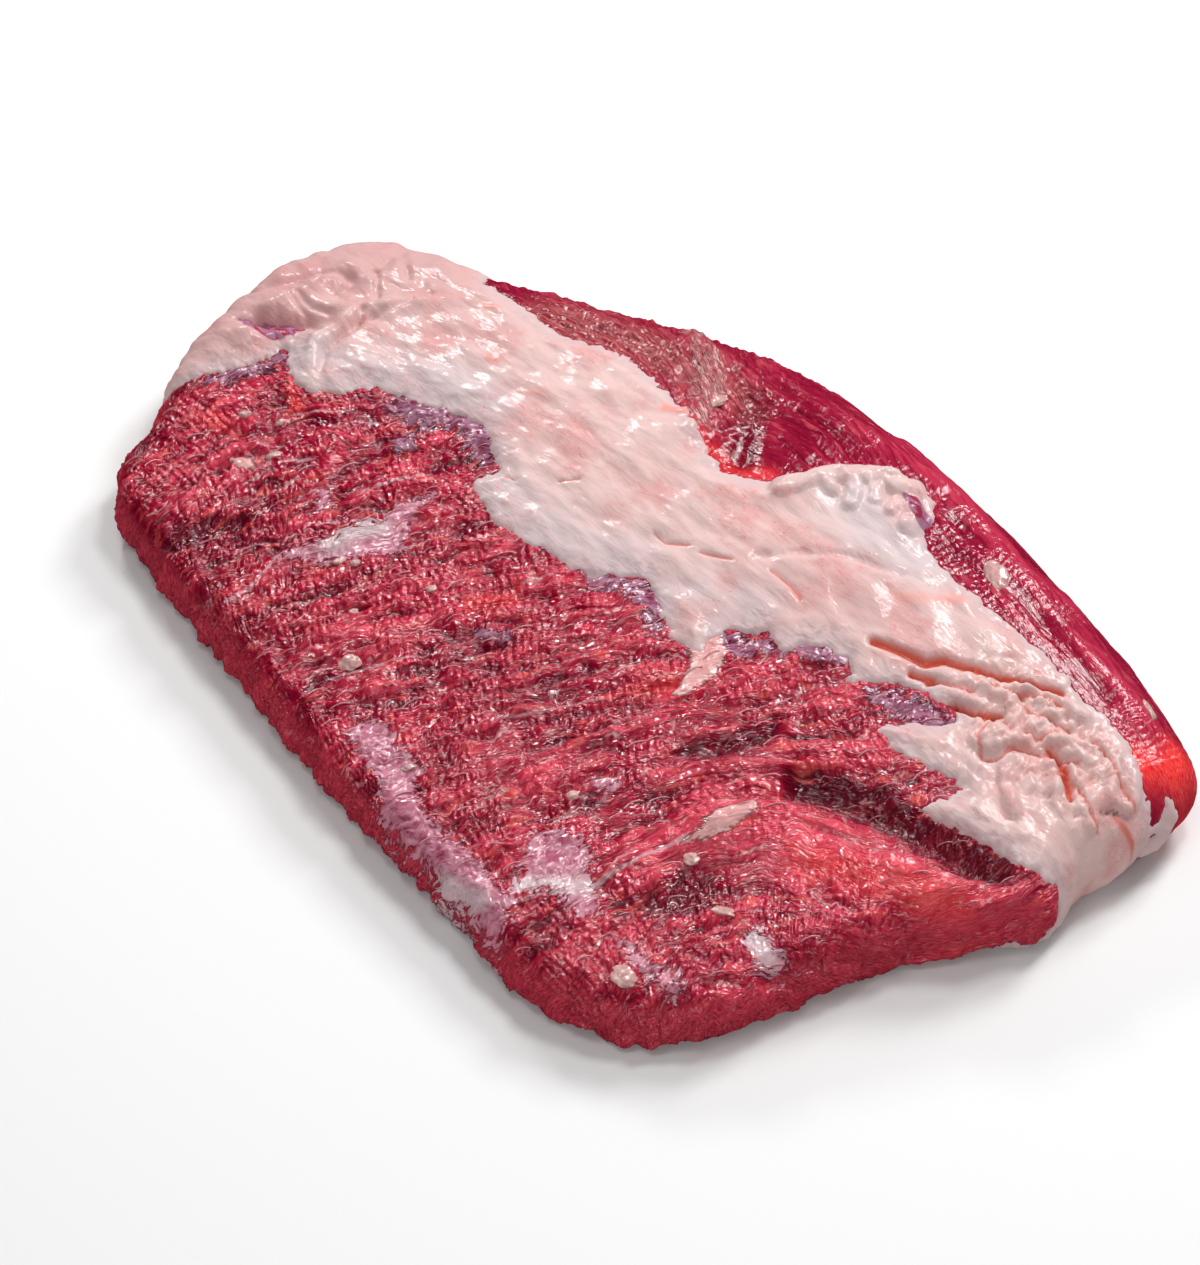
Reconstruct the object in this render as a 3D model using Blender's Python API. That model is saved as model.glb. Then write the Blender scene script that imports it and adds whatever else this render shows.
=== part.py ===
"""Whole raw beef brisket, lying with its lean side up: flat and point, with the seam of hard fat between.

Metres, +Z up. The origin is under the middle of the piece, on the surface that it lies on. +X runs along
the length and +Y across it, towards the point.
"""

import math

import bmesh
import bpy
import numpy as np
from mathutils import Matrix, Vector, noise

MM = 0.001
JOINT_GAP = 0.35  # left between two solids that meet, in mm
MERGE = 0.00005  # distance under which a tube's cap is welded to it, in metres
MIDDLE = (-3.4, 4.9)  # the middle of the piece in the measurements below, in mm, where the origin lies

# The trimmed edge, seen from above, in mm. Each station is the widest line's x and y, its height, and the
# radius with which the top rolls over it. Each side starts at one of the four corners.
NEAR_SIDE = (
    (-206, -78, 12, 12),
    (-186, -95, 11, 10),
    (-150, -103, 10, 9),
    (-84, -115, 10, 9),
    (-10, -129, 10, 9),
    (60, -137, 10, 10),
)
RIGHT_END = (
    (105, -142, 10, 11),
    (139, -133, 10, 12),
    (161, -114, 11, 12),
    (176, -85, 11, 12),
    (193, -34, 11, 12),
    (215, 1, 11, 12),
    (226, 16, 12, 12),
    (221, 38, 16, 14),
    (227, 62, 18, 16),
    (231, 86, 20, 18),
)
FAR_SIDE = (
    (222, 108, 22, 22),
    (181, 126, 24, 28),
    (121, 141, 26, 32),
    (60, 150, 26, 34),
    (0, 153, 26, 34),
    (-50, 145, 26, 32),
    (-100, 125, 24, 30),
    (-160, 101, 24, 28),
)
LEFT_END = (
    (-211, 82, 22, 24),
    (-234, 44, 20, 22),
    (-236, 6, 18, 20),
    (-226, -29, 16, 18),
    (-211, -57, 14, 14),
)
SIDES = (NEAR_SIDE, RIGHT_END, FAR_SIDE, LEFT_END)
UNDERCUT = 0.75  # how far the foot lies inside the widest line, as a share of that line's height

# Height of the top in mm, on a lattice of lines across (LATTICE_X) and along (LATTICE_Y) the piece.
LATTICE_X = (-240, -160, -80, 0, 80, 160, 240)
LATTICE_Y = (-150, -75, 0, 75, 150)
TOP_HEIGHTS = (
    (24, 26, 27, 28, 28, 27, 25),
    (30, 34, 36, 37, 36, 33, 28),
    (42, 48, 50, 50, 47, 42, 34),
    (46, 58, 64, 65, 61, 52, 40),
    (44, 50, 58, 62, 60, 50, 38),
)

# Angles round the rolled edge, in degrees: -90 is the foot, 0 the widest line and 90 where the top begins.
EDGE_ANGLES = (-90, -40, 0, 28, 54, 74, 90)

# Cells of the grid lengthwise and across. The lean's are narrow lengthwise, because its grain runs across.
LEAN_CELLS = (98, 40)
FAT_CELLS = (84, 52)

# The band of hard fat where it shows on top, in mm: its lobed side towards the flat, left to right, then its
# side towards the point, right to left. It runs out over both ends, and slants down under the flat.
SEAM_TO_FLAT = (
    (-219, -35), (-205, -25), (-194, -10), (-188, 4), (-178, -4), (-166, -7), (-154, -2), (-140, 11),
    (-119, 17), (-99, 24), (-80, 21), (-68, 12), (-71, 2), (-58, -3), (-42, -6), (-24, -3), (-6, -3),
    (8, 8), (19, 13), (30, 7), (44, 0), (57, 1), (57, 14), (70, 26), (81, 24), (89, 34), (103, 37),
    (112, 31), (124, 42), (144, 48), (152, 43), (133, 24), (148, 21), (174, 26), (168, 9), (184, 12),
    (205, 17), (219, 20), (226, 32),
)
SEAM_RIGHT_END = ((262, 32), (264, 92))
SEAM_TO_POINT = (
    (230, 93), (229, 79), (217, 78), (203, 87), (183, 88), (155, 93), (127, 93), (107, 94), (96, 95),
    (84, 101), (80, 112), (69, 121), (57, 121), (42, 111), (33, 99), (25, 80), (11, 70), (-2, 70),
    (-18, 77), (-40, 84), (-73, 87), (-99, 79), (-129, 82), (-153, 88),
)
SEAM_LEFT_END = ((-176, 140), (-264, 132), (-266, -36))
SEAM_SLANT = 0.4  # how far the seam goes under the flat for each mm down
SEAM_STEPS = 2
DIVIDE = ((-330, 70), (-150, 50), (0, 40), (100, 62), (160, 68), (330, 62))  # a line inside the band
BEYOND = ((330, 300), (-330, 300))  # corners that close off all that lies past the line
FAT_RISE = 3.0  # height of the fat over the lean beside it, in mm
FAT_BRINK = 7.0  # width of the fat's rounded brink, in mm

GRAIN_ANGLE = 60.0  # the grain's angle to +X, in degrees

# Ridges, and with a height below 0 furrows, in mm: height, half width, and the line that each follows.
LEAN_RIDGES = (
    (5.0, 13, ((113, -50), (128, -40), (145, -31), (163, -24), (179, -18), (194, -12), (214, -6))),
    (-9.0, 7, ((126, -14), (140, -8), (155, -3), (173, 0), (190, 3), (206, 7))),
    (-3.5, 4, ((86, -33), (95, -21), (102, -6))),
    (-5.0, 5, ((-150, -100), (-141, -82), (-135, -72))),
    (-3.0, 7, ((118, -96), (134, -70))),
    (2.5, 9, ((-60, -90), (-30, -40))),
    (4.0, 7, ((-55, 122), (-40, 107), (-25, 95), (-13, 87))),
    (-3.5, 6, ((-12, 104), (0, 88), (6, 78))),
    (2.0, 8, ((40, 145), (90, 128), (150, 112), (200, 98))),
)
FAT_RIDGES = (
    (2.6, 5, ((-178, 6), (-181, 22), (-175, 40), (-162, 50), (-150, 62))),
    (3.0, 5, ((-212, 14), (-206, 34), (-202, 52), (-188, 52))),
    (2.6, 6, ((-228, 36), (-222, 66), (-205, 82))),
    (-4.0, 5, ((-209, 8), (-197, 16), (-185, 24))),
    (-2.5, 4, ((-194, 38), (-191, 60), (-196, 76))),
    (3.5, 6, ((-207, -2), (-214, -10))),
)

# Folds of fat that stand out round, in mm: radius, and the x, y and height of the points they run through.
FAT_FOLDS = (
    (5.0, ((30, 77, 64), (37, 93, 64), (46, 104, 63), (57, 112, 62), (67, 112, 61), (75, 106, 61), (79, 98, 61))),
    (3.2, ((44, 84, 63), (56, 95, 63), (69, 102, 61))),
    (6.5, ((166, 46, 47), (172, 52, 47))),
    (3.2, ((151, 64, 51), (160, 66, 50), (166, 64, 49), (170, 57, 48))),
    (2.8, ((177, 72, 49), (174, 65, 49), (178, 56, 47))),
    (3.4, ((182, 64, 47), (188, 67, 46), (197, 66, 45))),
    (3.4, ((160, 72, 51), (170, 76, 50), (186, 81, 48))),
    (3.2, ((198, 76, 45), (206, 74, 43), (213, 66, 41), (219, 61, 36))),
    (3.2, ((206, 80, 44), (215, 78, 41), (221, 71, 37), (224, 66, 32))),
    (3.0, ((197, 59, 44), (206, 55, 42), (214, 52, 38), (219, 49, 33))),
    (3.2, ((190, 55, 45), (199, 49, 43), (207, 44, 40))),
    (3.4, ((178, 44, 45), (186, 36, 43), (194, 30, 41))),
)

# Cracks in the fat, in mm: half width, and the x, y and height of the points they run through.
FAT_CRACKS = (
    (1.9, ((106, 48, 54), (117, 52, 54), (127, 55, 53), (132, 61, 53), (147, 69, 52), (163, 77, 50), (172, 83, 49))),
    (1.4, ((147, 50, 52), (156, 52, 51), (163, 58, 50))),
    (1.5, ((186, 60, 47), (196, 58, 46), (205, 50, 44))),
    (1.5, ((126, 48, 53), (134, 52, 53))),
)

# Small lumps of fat in the lean's surface, in mm: x, y, height, half length and half width, and their angle.
KERNELS = (
    (-46, -91, 34, 4.5, 3.5, 60),
    (136, -120, 27, 5.5, 4.5, 20),
    (117, 108, 58, 7.0, 4.5, -20),
    (-22, 93, 66, 5.0, 4.0, 60),
    (144, -77, 33, 5.5, 3.0, 20),
    (-162, -52, 38, 4.5, 3.5, 60),
    (-148, -39, 41, 4.5, 2.8, 60),
    (66, -77, 35, 3.2, 2.6, 60),
    (199, 105, 43, 6.0, 3.0, -20),
)
KERNEL_HEIGHT = 2.6  # half of a lump's height
FOLD_SINK = 0.35  # how far a fold's middle line lies under the fat's surface, as a share of its radius
CRACK_SINK = 0.4  # the same for a crack
TUBE_SHAPE = 2  # bevel resolution of the folds and cracks
PRISM_FOOT = -20.0  # where the prisms that divide the piece begin and how tall they are, in mm
PRISM_HEIGHT = 140.0

# Colours as linear red, green and blue.
FLAT_RED = (0.30, 0.022, 0.032)
POINT_RED = (0.36, 0.035, 0.055)
FAT_CREAM = (0.80, 0.56, 0.52)


def catmull_rom(p0, p1, p2, p3, f):
    """The point at share f of the way from p1 to p2, on a smooth curve through four points."""
    bend = 2 * p0 - 5 * p1 + 4 * p2 - p3
    twist = p3 + 3 * p1 - p0 - 3 * p2
    return p1 + 0.5 * ((p2 - p0) * f + bend * f**2 + twist * f**3)


def closed_curve(stations, steps):
    """A smooth closed curve through the stations, with this many points from each to the next."""
    at = [np.roll(np.array(stations, float), -k, axis=0)[:, None] for k in (-1, 0, 1, 2)]
    share = (np.arange(steps) / steps)[None, :, None]
    return catmull_rom(*at, share).reshape(-1, at[0].shape[-1])


def outward(curve, reach):
    """Unit vectors that point out of a closed anticlockwise curve, smoothed over reach points each way."""
    along = np.roll(curve[:, :2], -reach, axis=0) - np.roll(curve[:, :2], reach, axis=0)
    across = np.stack([along[:, 1], -along[:, 0]], axis=1)
    return across / np.linalg.norm(across, axis=1, keepdims=True)


class Edge:
    """The trimmed edge: its place, height, roll and outward direction, by side and share of that side."""

    STEPS = 24

    def __init__(self):
        stations = [station for side in SIDES for station in side]
        curve = closed_curve(stations, self.STEPS)
        self.table = np.hstack([curve, outward(curve, self.STEPS)])
        self.starts = np.cumsum([0] + [len(side) * self.STEPS for side in SIDES])

    def at(self, side, share):
        """x, y, height, roll and outward x and y, at this share of a side's length."""
        rows = np.arange(self.starts[side], self.starts[side + 1] + 1) % len(self.table)
        table = self.table[rows]
        gone = np.cumsum(np.r_[0, np.hypot(*np.diff(table[:, :2], axis=0).T)])
        return np.stack([np.interp(share * gone[-1], gone, column) for column in table.T], axis=-1)


EDGE = Edge()


def top_height(x, y):
    """Height of the top at a place seen from above, in mm."""
    table = np.array(TOP_HEIGHTS, float)

    def lattice(value, lines):
        place = (np.clip(value, lines[0], lines[-1]) - lines[0]) / (lines[1] - lines[0])
        cell = np.minimum(place.astype(int), len(lines) - 2)
        return cell, place - cell

    def row(index, column, share):
        taken = [np.clip(column + k, 0, len(LATTICE_X) - 1) for k in (-1, 0, 1, 2)]
        index = np.clip(index, 0, len(LATTICE_Y) - 1)
        return catmull_rom(*[table[index, k] for k in taken], share)

    column, share_x = lattice(np.asarray(x, float), LATTICE_X)
    line, share_y = lattice(np.asarray(y, float), LATTICE_Y)
    return catmull_rom(*[row(line + k, column, share_x) for k in (-1, 0, 1, 2)], share_y)


def on_edge(side, share, angle):
    """Place and facing of points on the rolled edge, at an angle in radians from EDGE_ANGLES."""
    x, y, rim, roll, out_x, out_y = np.moveaxis(EDGE.at(side, share), -1, 0)
    inset = np.where(angle < 0, UNDERCUT * rim, roll) * (1 - np.cos(angle))
    x, y = x - inset * out_x, y - inset * out_y
    rise = np.where(angle < 0, rim, top_height(x, y) - rim)
    place = np.stack([x, y, rim + rise * np.sin(angle)], axis=-1)
    facing = np.stack([out_x * np.cos(angle), out_y * np.cos(angle), np.sin(angle)], axis=-1)
    return place, facing


def pillow_points(i, j, nx, ny, angles):
    """Place and facing of grid corners i, j: each square ring of the grid lies on one ring of the edge."""
    place = np.zeros((len(i), 3))
    facing = np.tile([0.0, 0.0, 1.0], (len(i), 1))
    ring = np.minimum(np.minimum(i, nx - i), np.minimum(j, ny - j))
    last = len(angles) - 1
    for k, angle in enumerate(angles):
        wide, deep = nx - 2 * k, ny - 2 * k
        on_sides = (
            (j == k, (i - k) / wide),
            (i == nx - k, (j - k) / deep),
            (j == ny - k, (nx - k - i) / wide),
            (i == k, (ny - k - j) / deep),
        )
        for side, (on_side, share) in enumerate(on_sides):
            chosen = on_side & (ring == k)
            radians = np.full(chosen.sum(), math.radians(angle))
            place[chosen], facing[chosen] = on_edge(side, share[chosen], radians)
    inside = ring > last
    a = (i[inside] - last) / (nx - 2 * last)
    b = (j[inside] - last) / (ny - 2 * last)
    place[inside, :2] = between_sides(a, b)
    place[inside, 2] = top_height(place[inside, 0], place[inside, 1])
    return place, facing, ring


def between_sides(a, b):
    """Seen from above, the point at shares a and b of the way across the top, blended from its four sides."""

    def side(index, share):
        return on_edge(index, share, np.full(len(share), math.pi / 2))[0][:, :2]

    zero, one = np.zeros(len(a)), np.ones(len(a))
    a_, b_ = a[:, None], b[:, None]
    lengthwise = (1 - b_) * side(0, a) + b_ * side(2, 1 - a)
    crosswise = (1 - a_) * side(3, 1 - b) + a_ * side(1, b)
    corners = (1 - b_) * ((1 - a_) * side(0, zero) + a_ * side(0, one))
    corners = corners + b_ * ((1 - a_) * side(2, one) + a_ * side(2, zero))
    return lengthwise + crosswise - corners


def grain_place(x, y):
    """Distances along and across the grain."""
    turn = math.radians(GRAIN_ANGLE)
    return x * math.cos(turn) + y * math.sin(turn), y * math.cos(turn) - x * math.sin(turn)


def waves(u, v, seed):
    """Smooth noise from -1 to 1 at places u, v, whose features are about 2 units wide."""
    return np.array([noise.noise(Vector((a, b, seed))) for a, b in zip(u, v)])


def line_distance(x, y, starts, ends):
    """Distance from places to the nearest of some straight lines, seen from above."""
    place = np.stack([x, y], axis=-1)[:, None]
    along = ends - starts
    share = ((place - starts) * along).sum(-1) / (along**2).sum(-1)
    nearest = starts + np.clip(share, 0, 1)[..., None] * along
    return np.sqrt(((place - nearest) ** 2).sum(-1)).min(axis=1)


def ridges(x, y, table):
    """The height of some ridges and furrows together."""
    height = np.zeros(len(x))
    for peak, half_width, line in table:
        line = np.array(line, float)
        height += peak * np.exp(-((line_distance(x, y, line[:-1], line[1:]) / half_width) ** 2))
    return height


def seam_outline(grow=0.0):
    """The band of fat as a closed curve, seen from above, grown outwards by this many mm."""
    stations = SEAM_TO_FLAT + SEAM_RIGHT_END + SEAM_TO_POINT + SEAM_LEFT_END
    curve = closed_curve(stations, SEAM_STEPS)
    return curve + grow * outward(curve, 1)


def lean_relief(x, y):
    """How far the lean stands out from the plain form, in mm: bundles along the grain, and its ridges."""
    along, across = grain_place(x, y)
    relief = 1.3 * waves(across / 6.5, along / 45, 1) + 1.6 * waves(across / 18, along / 50, 2)
    return relief + ridges(x, y, LEAN_RIDGES)


def fat_relief(x, y):
    """How far the fat stands out from the plain form, in mm: it is lumpy, with a rounded brink."""
    outline = seam_outline()
    brink = np.clip(line_distance(x, y, outline, np.roll(outline, -1, axis=0)) / FAT_BRINK, 0, 1)
    rise = FAT_RISE * (0.35 + 0.65 * np.sqrt(brink))
    lumps = 1.3 * waves(x / 13, y / 11, 3) + 0.9 * waves(x / 6, y / 6, 4)
    return rise + brink * (lumps + ridges(x, y, FAT_RIDGES))


def on_relief(points, relief, lift):
    """Points of the plain form, raised to the surface that the relief gives, and then by lift."""
    points = np.array(points, float)
    points[:, 2] += relief(points[:, 0], points[:, 1]) + lift
    return points


def new_collection(name):
    made = bpy.data.collections.new(name)
    bpy.context.scene.collection.children.link(made)
    return made


def finish_mesh(name, form, collection):
    """A bmesh in mm about the plan's own zero, as an object in metres about the origin."""
    bmesh.ops.translate(form, verts=form.verts, vec=Vector((-MIDDLE[0], -MIDDLE[1], 0)))
    bmesh.ops.scale(form, verts=form.verts, vec=Vector((MM, MM, MM)))
    bmesh.ops.recalc_face_normals(form, faces=form.faces)
    mesh = bpy.data.meshes.new(name)
    form.to_mesh(mesh)
    form.free()
    made = bpy.data.objects.new(name, mesh)
    collection.objects.link(made)
    return made


def pillow(name, cells, relief, collection):
    """The whole piece as one closed body: a grid wrapped over the top and round the edge, and a flat foot."""
    nx, ny = cells
    form = bmesh.new()
    bmesh.ops.create_grid(form, x_segments=nx, y_segments=ny, size=1)
    flat = np.array([corner.co[:2] for corner in form.verts])
    i, j = np.rint((flat[:, 0] + 1) / 2 * nx).astype(int), np.rint((flat[:, 1] + 1) / 2 * ny).astype(int)
    place, facing, ring = pillow_points(i, j, nx, ny, EDGE_ANGLES)
    place += facing * (relief(place[:, 0], place[:, 1]) * (ring > 0))[:, None]
    for corner, spot in zip(form.verts, place):
        corner.co = Vector(spot)
    foot = [line for line in form.edges if line.is_boundary]
    bmesh.ops.holes_fill(form, edges=foot, sides=len(foot))
    return finish_mesh(name, form, collection)


def slanted_prism(name, outline, collection):
    """What lies within an outline drawn on the top, from under the foot to over the top, slanting like the seam."""
    drop = SEAM_SLANT * (top_height(*outline.T) - PRISM_FOOT)
    form = bmesh.new()
    corners = [form.verts.new(Vector((x, y, PRISM_FOOT))) for x, y in outline - np.outer(drop, (0, 1))]
    base = form.faces.new(corners)
    raised = bmesh.ops.extrude_face_region(form, geom=[base])["geom"]
    lifted = [part for part in raised if isinstance(part, bmesh.types.BMVert)]
    bmesh.ops.translate(form, verts=lifted, vec=Vector((0, SEAM_SLANT, 1)) * PRISM_HEIGHT)
    return finish_mesh(name, form, collection)


def tube(name, radius, points, collection):
    """A tube through some points, thinner towards its ends, as a mesh."""
    line = bpy.data.curves.new(name, "CURVE")
    line.dimensions = "3D"
    line.bevel_depth = radius * MM
    line.bevel_resolution = TUBE_SHAPE
    line.use_fill_caps = True
    spline = line.splines.new("POLY")
    stations = np.array(points, float)
    rounds = np.linspace(0, len(stations) - 1, 2 * len(stations) - 1)
    smooth = np.stack([np.interp(rounds, np.arange(len(stations)), column) for column in stations.T], axis=-1)
    spline.points.add(len(smooth) - 1)
    for k, (point, (x, y, z)) in enumerate(zip(spline.points, smooth)):
        point.co = ((x - MIDDLE[0]) * MM, (y - MIDDLE[1]) * MM, z * MM, 1)
        point.radius = 0.45 if k in (0, len(smooth) - 1) else 1.0
    guide = bpy.data.objects.new(name, line)
    collection.objects.link(guide)
    graph = bpy.context.evaluated_depsgraph_get()
    mesh = bpy.data.meshes.new_from_object(guide.evaluated_get(graph))
    bpy.data.objects.remove(guide)
    form = bmesh.new()
    form.from_mesh(mesh)
    bmesh.ops.remove_doubles(form, verts=form.verts, dist=MERGE)
    bmesh.ops.recalc_face_normals(form, faces=form.faces)
    form.to_mesh(mesh)
    form.free()
    made = bpy.data.objects.new(name, mesh)
    collection.objects.link(made)
    return made


def kernel(name, place, half_length, half_width, angle, collection):
    """A flattened lump, half sunk in the surface."""
    form = bmesh.new()
    bmesh.ops.create_icosphere(form, subdivisions=2, radius=1)
    size = Vector((half_length, half_width, KERNEL_HEIGHT))
    bmesh.ops.scale(form, verts=form.verts, vec=size)
    turn = Matrix.Rotation(math.radians(angle), 3, "Z")
    bmesh.ops.rotate(form, verts=form.verts, matrix=turn)
    bmesh.ops.translate(form, verts=form.verts, vec=Vector(place))
    return finish_mesh(name, form, collection)


def boolean(body, operation, other):
    """Joins or cuts body with another object, or with every object of a collection, as a modifier."""
    modifier = body.modifiers.new(operation.title(), "BOOLEAN")
    modifier.operation = operation
    modifier.solver = "EXACT"
    if isinstance(other, bpy.types.Collection):
        modifier.operand_type = "COLLECTION"
        modifier.collection = other
    else:
        modifier.object = other


def apply_modifiers(body, helpers):
    """Makes the evaluated shape the body's own mesh, and removes the collection that shaped it."""
    graph = bpy.context.evaluated_depsgraph_get()
    body.data = bpy.data.meshes.new_from_object(body.evaluated_get(graph))
    body.modifiers.clear()
    for helper in list(helpers.objects):
        bpy.data.objects.remove(helper)
    bpy.data.collections.remove(helpers)


def add_folds_and_cracks(fat):
    folds = new_collection("folds")
    for k, (radius, points) in enumerate(FAT_FOLDS):
        lifted = on_relief(points, fat_relief, -FOLD_SINK * radius)
        tube(f"fold_{k}", radius, lifted, folds)
    boolean(fat, "UNION", folds)
    apply_modifiers(fat, folds)
    cracks = new_collection("cracks")
    for k, (half_width, points) in enumerate(FAT_CRACKS):
        sunk = on_relief(points, fat_relief, -CRACK_SINK * half_width)
        tube(f"crack_{k}", half_width, sunk, cracks)
    boolean(fat, "DIFFERENCE", cracks)
    apply_modifiers(fat, cracks)


def add_kernels(lean):
    lumps = new_collection("lumps")
    places = on_relief([shape[:3] for shape in KERNELS], lean_relief, 0.0)
    for k, (place, shape) in enumerate(zip(places, KERNELS)):
        kernel(f"lump_{k}", place, *shape[3:], lumps)
    boolean(lean, "UNION", lumps)
    apply_modifiers(lean, lumps)


def paint(body, name, colour, roughness):
    """Gives a body its own material and smooth shading."""
    material = bpy.data.materials.new(name)
    material.use_nodes = True
    shader = material.node_tree.nodes["Principled BSDF"]
    shader.inputs["Base Color"].default_value = (*colour, 1)
    shader.inputs["Roughness"].default_value = roughness
    shader.inputs["Metallic"].default_value = 0.0
    body.data.materials.clear()
    body.data.materials.append(material)
    body.data.shade_smooth()


def main():
    for left_over in list(bpy.data.objects):
        bpy.data.objects.remove(left_over)
    brisket = new_collection("beef_brisket")
    cutters = new_collection("cutters")

    fat = pillow("fat_seam", FAT_CELLS, fat_relief, brisket)
    add_folds_and_cracks(fat)
    flat = pillow("flat_muscle", LEAN_CELLS, lean_relief, brisket)
    add_kernels(flat)
    point = bpy.data.objects.new("point_muscle", flat.data.copy())
    brisket.objects.link(point)

    seam_bounds = slanted_prism("seam_bounds", seam_outline(), cutters)
    seam_room = slanted_prism("seam_room", seam_outline(JOINT_GAP), cutters)
    far_side = slanted_prism("far_side", np.array(DIVIDE + BEYOND, float), cutters)
    for cutter in (seam_bounds, seam_room, far_side):
        cutter.hide_render = True
        cutter.display_type = "WIRE"

    boolean(fat, "INTERSECT", seam_bounds)
    boolean(flat, "DIFFERENCE", seam_room)
    boolean(flat, "DIFFERENCE", far_side)
    boolean(point, "DIFFERENCE", seam_room)
    boolean(point, "INTERSECT", far_side)

    paint(flat, "flat_lean", FLAT_RED, 0.4)
    paint(point, "point_lean", POINT_RED, 0.35)
    paint(fat, "hard_fat", FAT_CREAM, 0.45)


main()
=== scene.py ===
"""Looks of the raw beef brisket: flat, point and the hard fat between them, as three pieces on one fine grid.

The tables and forms are those of the part, in mm about the plan's own zero, and MIDDLE moves them to the
frame's origin. The marks on the meat are lines with a half width and outlines with a soft border.
"""

import math

import bmesh
import bpy
import numpy as np
from mathutils import Matrix, Vector, geometry


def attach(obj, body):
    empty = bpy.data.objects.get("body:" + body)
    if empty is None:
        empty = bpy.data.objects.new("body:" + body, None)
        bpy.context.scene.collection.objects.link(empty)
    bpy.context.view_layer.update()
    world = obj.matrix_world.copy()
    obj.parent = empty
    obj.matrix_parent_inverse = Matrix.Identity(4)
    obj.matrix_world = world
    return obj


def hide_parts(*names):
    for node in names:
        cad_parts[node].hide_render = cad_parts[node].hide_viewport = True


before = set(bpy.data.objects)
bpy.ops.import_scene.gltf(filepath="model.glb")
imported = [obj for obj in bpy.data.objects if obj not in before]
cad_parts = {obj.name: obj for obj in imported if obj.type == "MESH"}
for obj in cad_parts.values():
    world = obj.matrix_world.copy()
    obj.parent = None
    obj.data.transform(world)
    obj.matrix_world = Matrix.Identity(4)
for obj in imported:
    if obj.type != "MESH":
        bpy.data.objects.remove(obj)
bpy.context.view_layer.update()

MM = 0.001
MM_IN_A_METRE = 1000
MIDDLE = np.array([-3.4, 4.9, 0.0])

# The photo's view: angles in degrees, distance in m, lens in mm, and the place in m that lies at one pixel.
PHOTO_SIZE = (1200, 1265)
VIEW_AZIMUTH = 45.0
VIEW_ELEVATION = 48.0
VIEW_DISTANCE = 1.4
LENS = 100.0
SENSOR = 36.0
AIM = (0.0334, -0.0089, 0.03)
AIM_PIXEL = (640, 655)

# The floor's half width in m, the place in m that the lamps point at, and the lamps: name, place and size in
# m, and power in W. The world's light comes from all round.
FLOOR_REACH = 3.0
FLOOR_GREY = 0.82
WORLD_LIGHT = 0.29
LIT_PLACE = (0.0, 0.0, 0.03)
LAMPS = (
    ("key", (0.1, -0.3, 1.3), 0.35, 2.2),
    ("front", (0.7, -1.0, 0.8), 0.6, 2.8),
    ("back", (0.05, 1.05, 1.05), 0.42, 12.5),
    ("glint_left", (-0.95, 0.35, 0.8), 0.25, 5.2),
    ("glint_right", (0.1, 0.45, 1.25), 0.25, 5.2),
)

# Colours as linear red, green and blue. The lean's four are its valleys in painted shade, its body, its
# crests in painted light, and its glow. Its looks also say how much of each pattern shows, how deep the
# film's relief is in m, and how it shines.
FLAT_TONES = ((0.12, 0.002, 0.014), (0.38, 0.005, 0.032), (0.74, 0.060, 0.105), (0.76, 0.090, 0.080))
POINT_TONES = ((0.13, 0.002, 0.014), (0.25, 0.006, 0.030), (0.46, 0.030, 0.070), (0.50, 0.060, 0.085))
LEAN_LOOKS = {
    "flat_lean": {"tones": FLAT_TONES, "crimped": 0.35, "marbled": 0.9, "edge_pink_and_light": 0.8,
                  "film_depth": 0.0013, "coat": 1.0, "coat_roughness": 0.05},
    "point_lean": {"tones": POINT_TONES, "crimped": 0.12, "marbled": 0.15, "edge_pink_and_light": 0.0,
                   "film_depth": 0.0003, "coat": 0.55, "coat_roughness": 0.11},
}
WET_IOR = 1.72
# Dark places: stains, and painted shade in the furrows.
STAIN_AND_SHADE = (0.15, 0.005, 0.016)
MARBLING = (0.72, 0.32, 0.33)
THREAD = (0.60, 0.34, 0.38)
WHITE_SKIN = (0.70, 0.55, 0.57)
KERNEL = (0.64, 0.36, 0.34)
STRAND = (0.66, 0.25, 0.28)

# Pairs of colours, the deeper one first, that a noise mixes.
FRESH_RED = ((0.80, 0.012, 0.020), (1.00, 0.10, 0.085))
DRIED_BROWN = ((0.22, 0.025, 0.030), (0.50, 0.16, 0.15))
# The edge's sides, pinker and lighter: partly their own pink, partly painted light.
SIDE_PINK_AND_LIGHT = ((0.42, 0.012, 0.035), (0.70, 0.09, 0.13))
MEMBRANE = ((0.22, 0.02, 0.07), (0.42, 0.20, 0.30))
SILVERSKIN = ((0.40, 0.07, 0.14), (0.68, 0.30, 0.38))
THIN_FAT = ((0.60, 0.18, 0.18), (0.80, 0.52, 0.50))
MEAT_BELOW = ((0.30, 0.03, 0.06), (0.34, 0.16, 0.25))

# The hard fat's colours.
FAT_CREAM = (0.655, 0.455, 0.435)
FAT_PINK = (0.63, 0.34, 0.33)
FAT_PALE = (0.70, 0.54, 0.51)
FAT_BLUSH = (0.53, 0.29, 0.285)
FAT_THIN = (0.56, 0.43, 0.44)
FAT_BLUISH = (0.58, 0.49, 0.50)
FAT_VEIN = (0.62, 0.14, 0.12)
FAT_CREASE = (0.76, 0.24, 0.19)
FAT_CHIP = (0.78, 0.24, 0.19)
FAT_CRACK = (0.58, 0.10, 0.06)

# Rows of fibre and their crimps in each mm, and how far a ragged border strays.
ROWS_A_MM = 0.24
CRIMPS_A_MM = 0.31
RAGGED = 0.9
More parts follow.
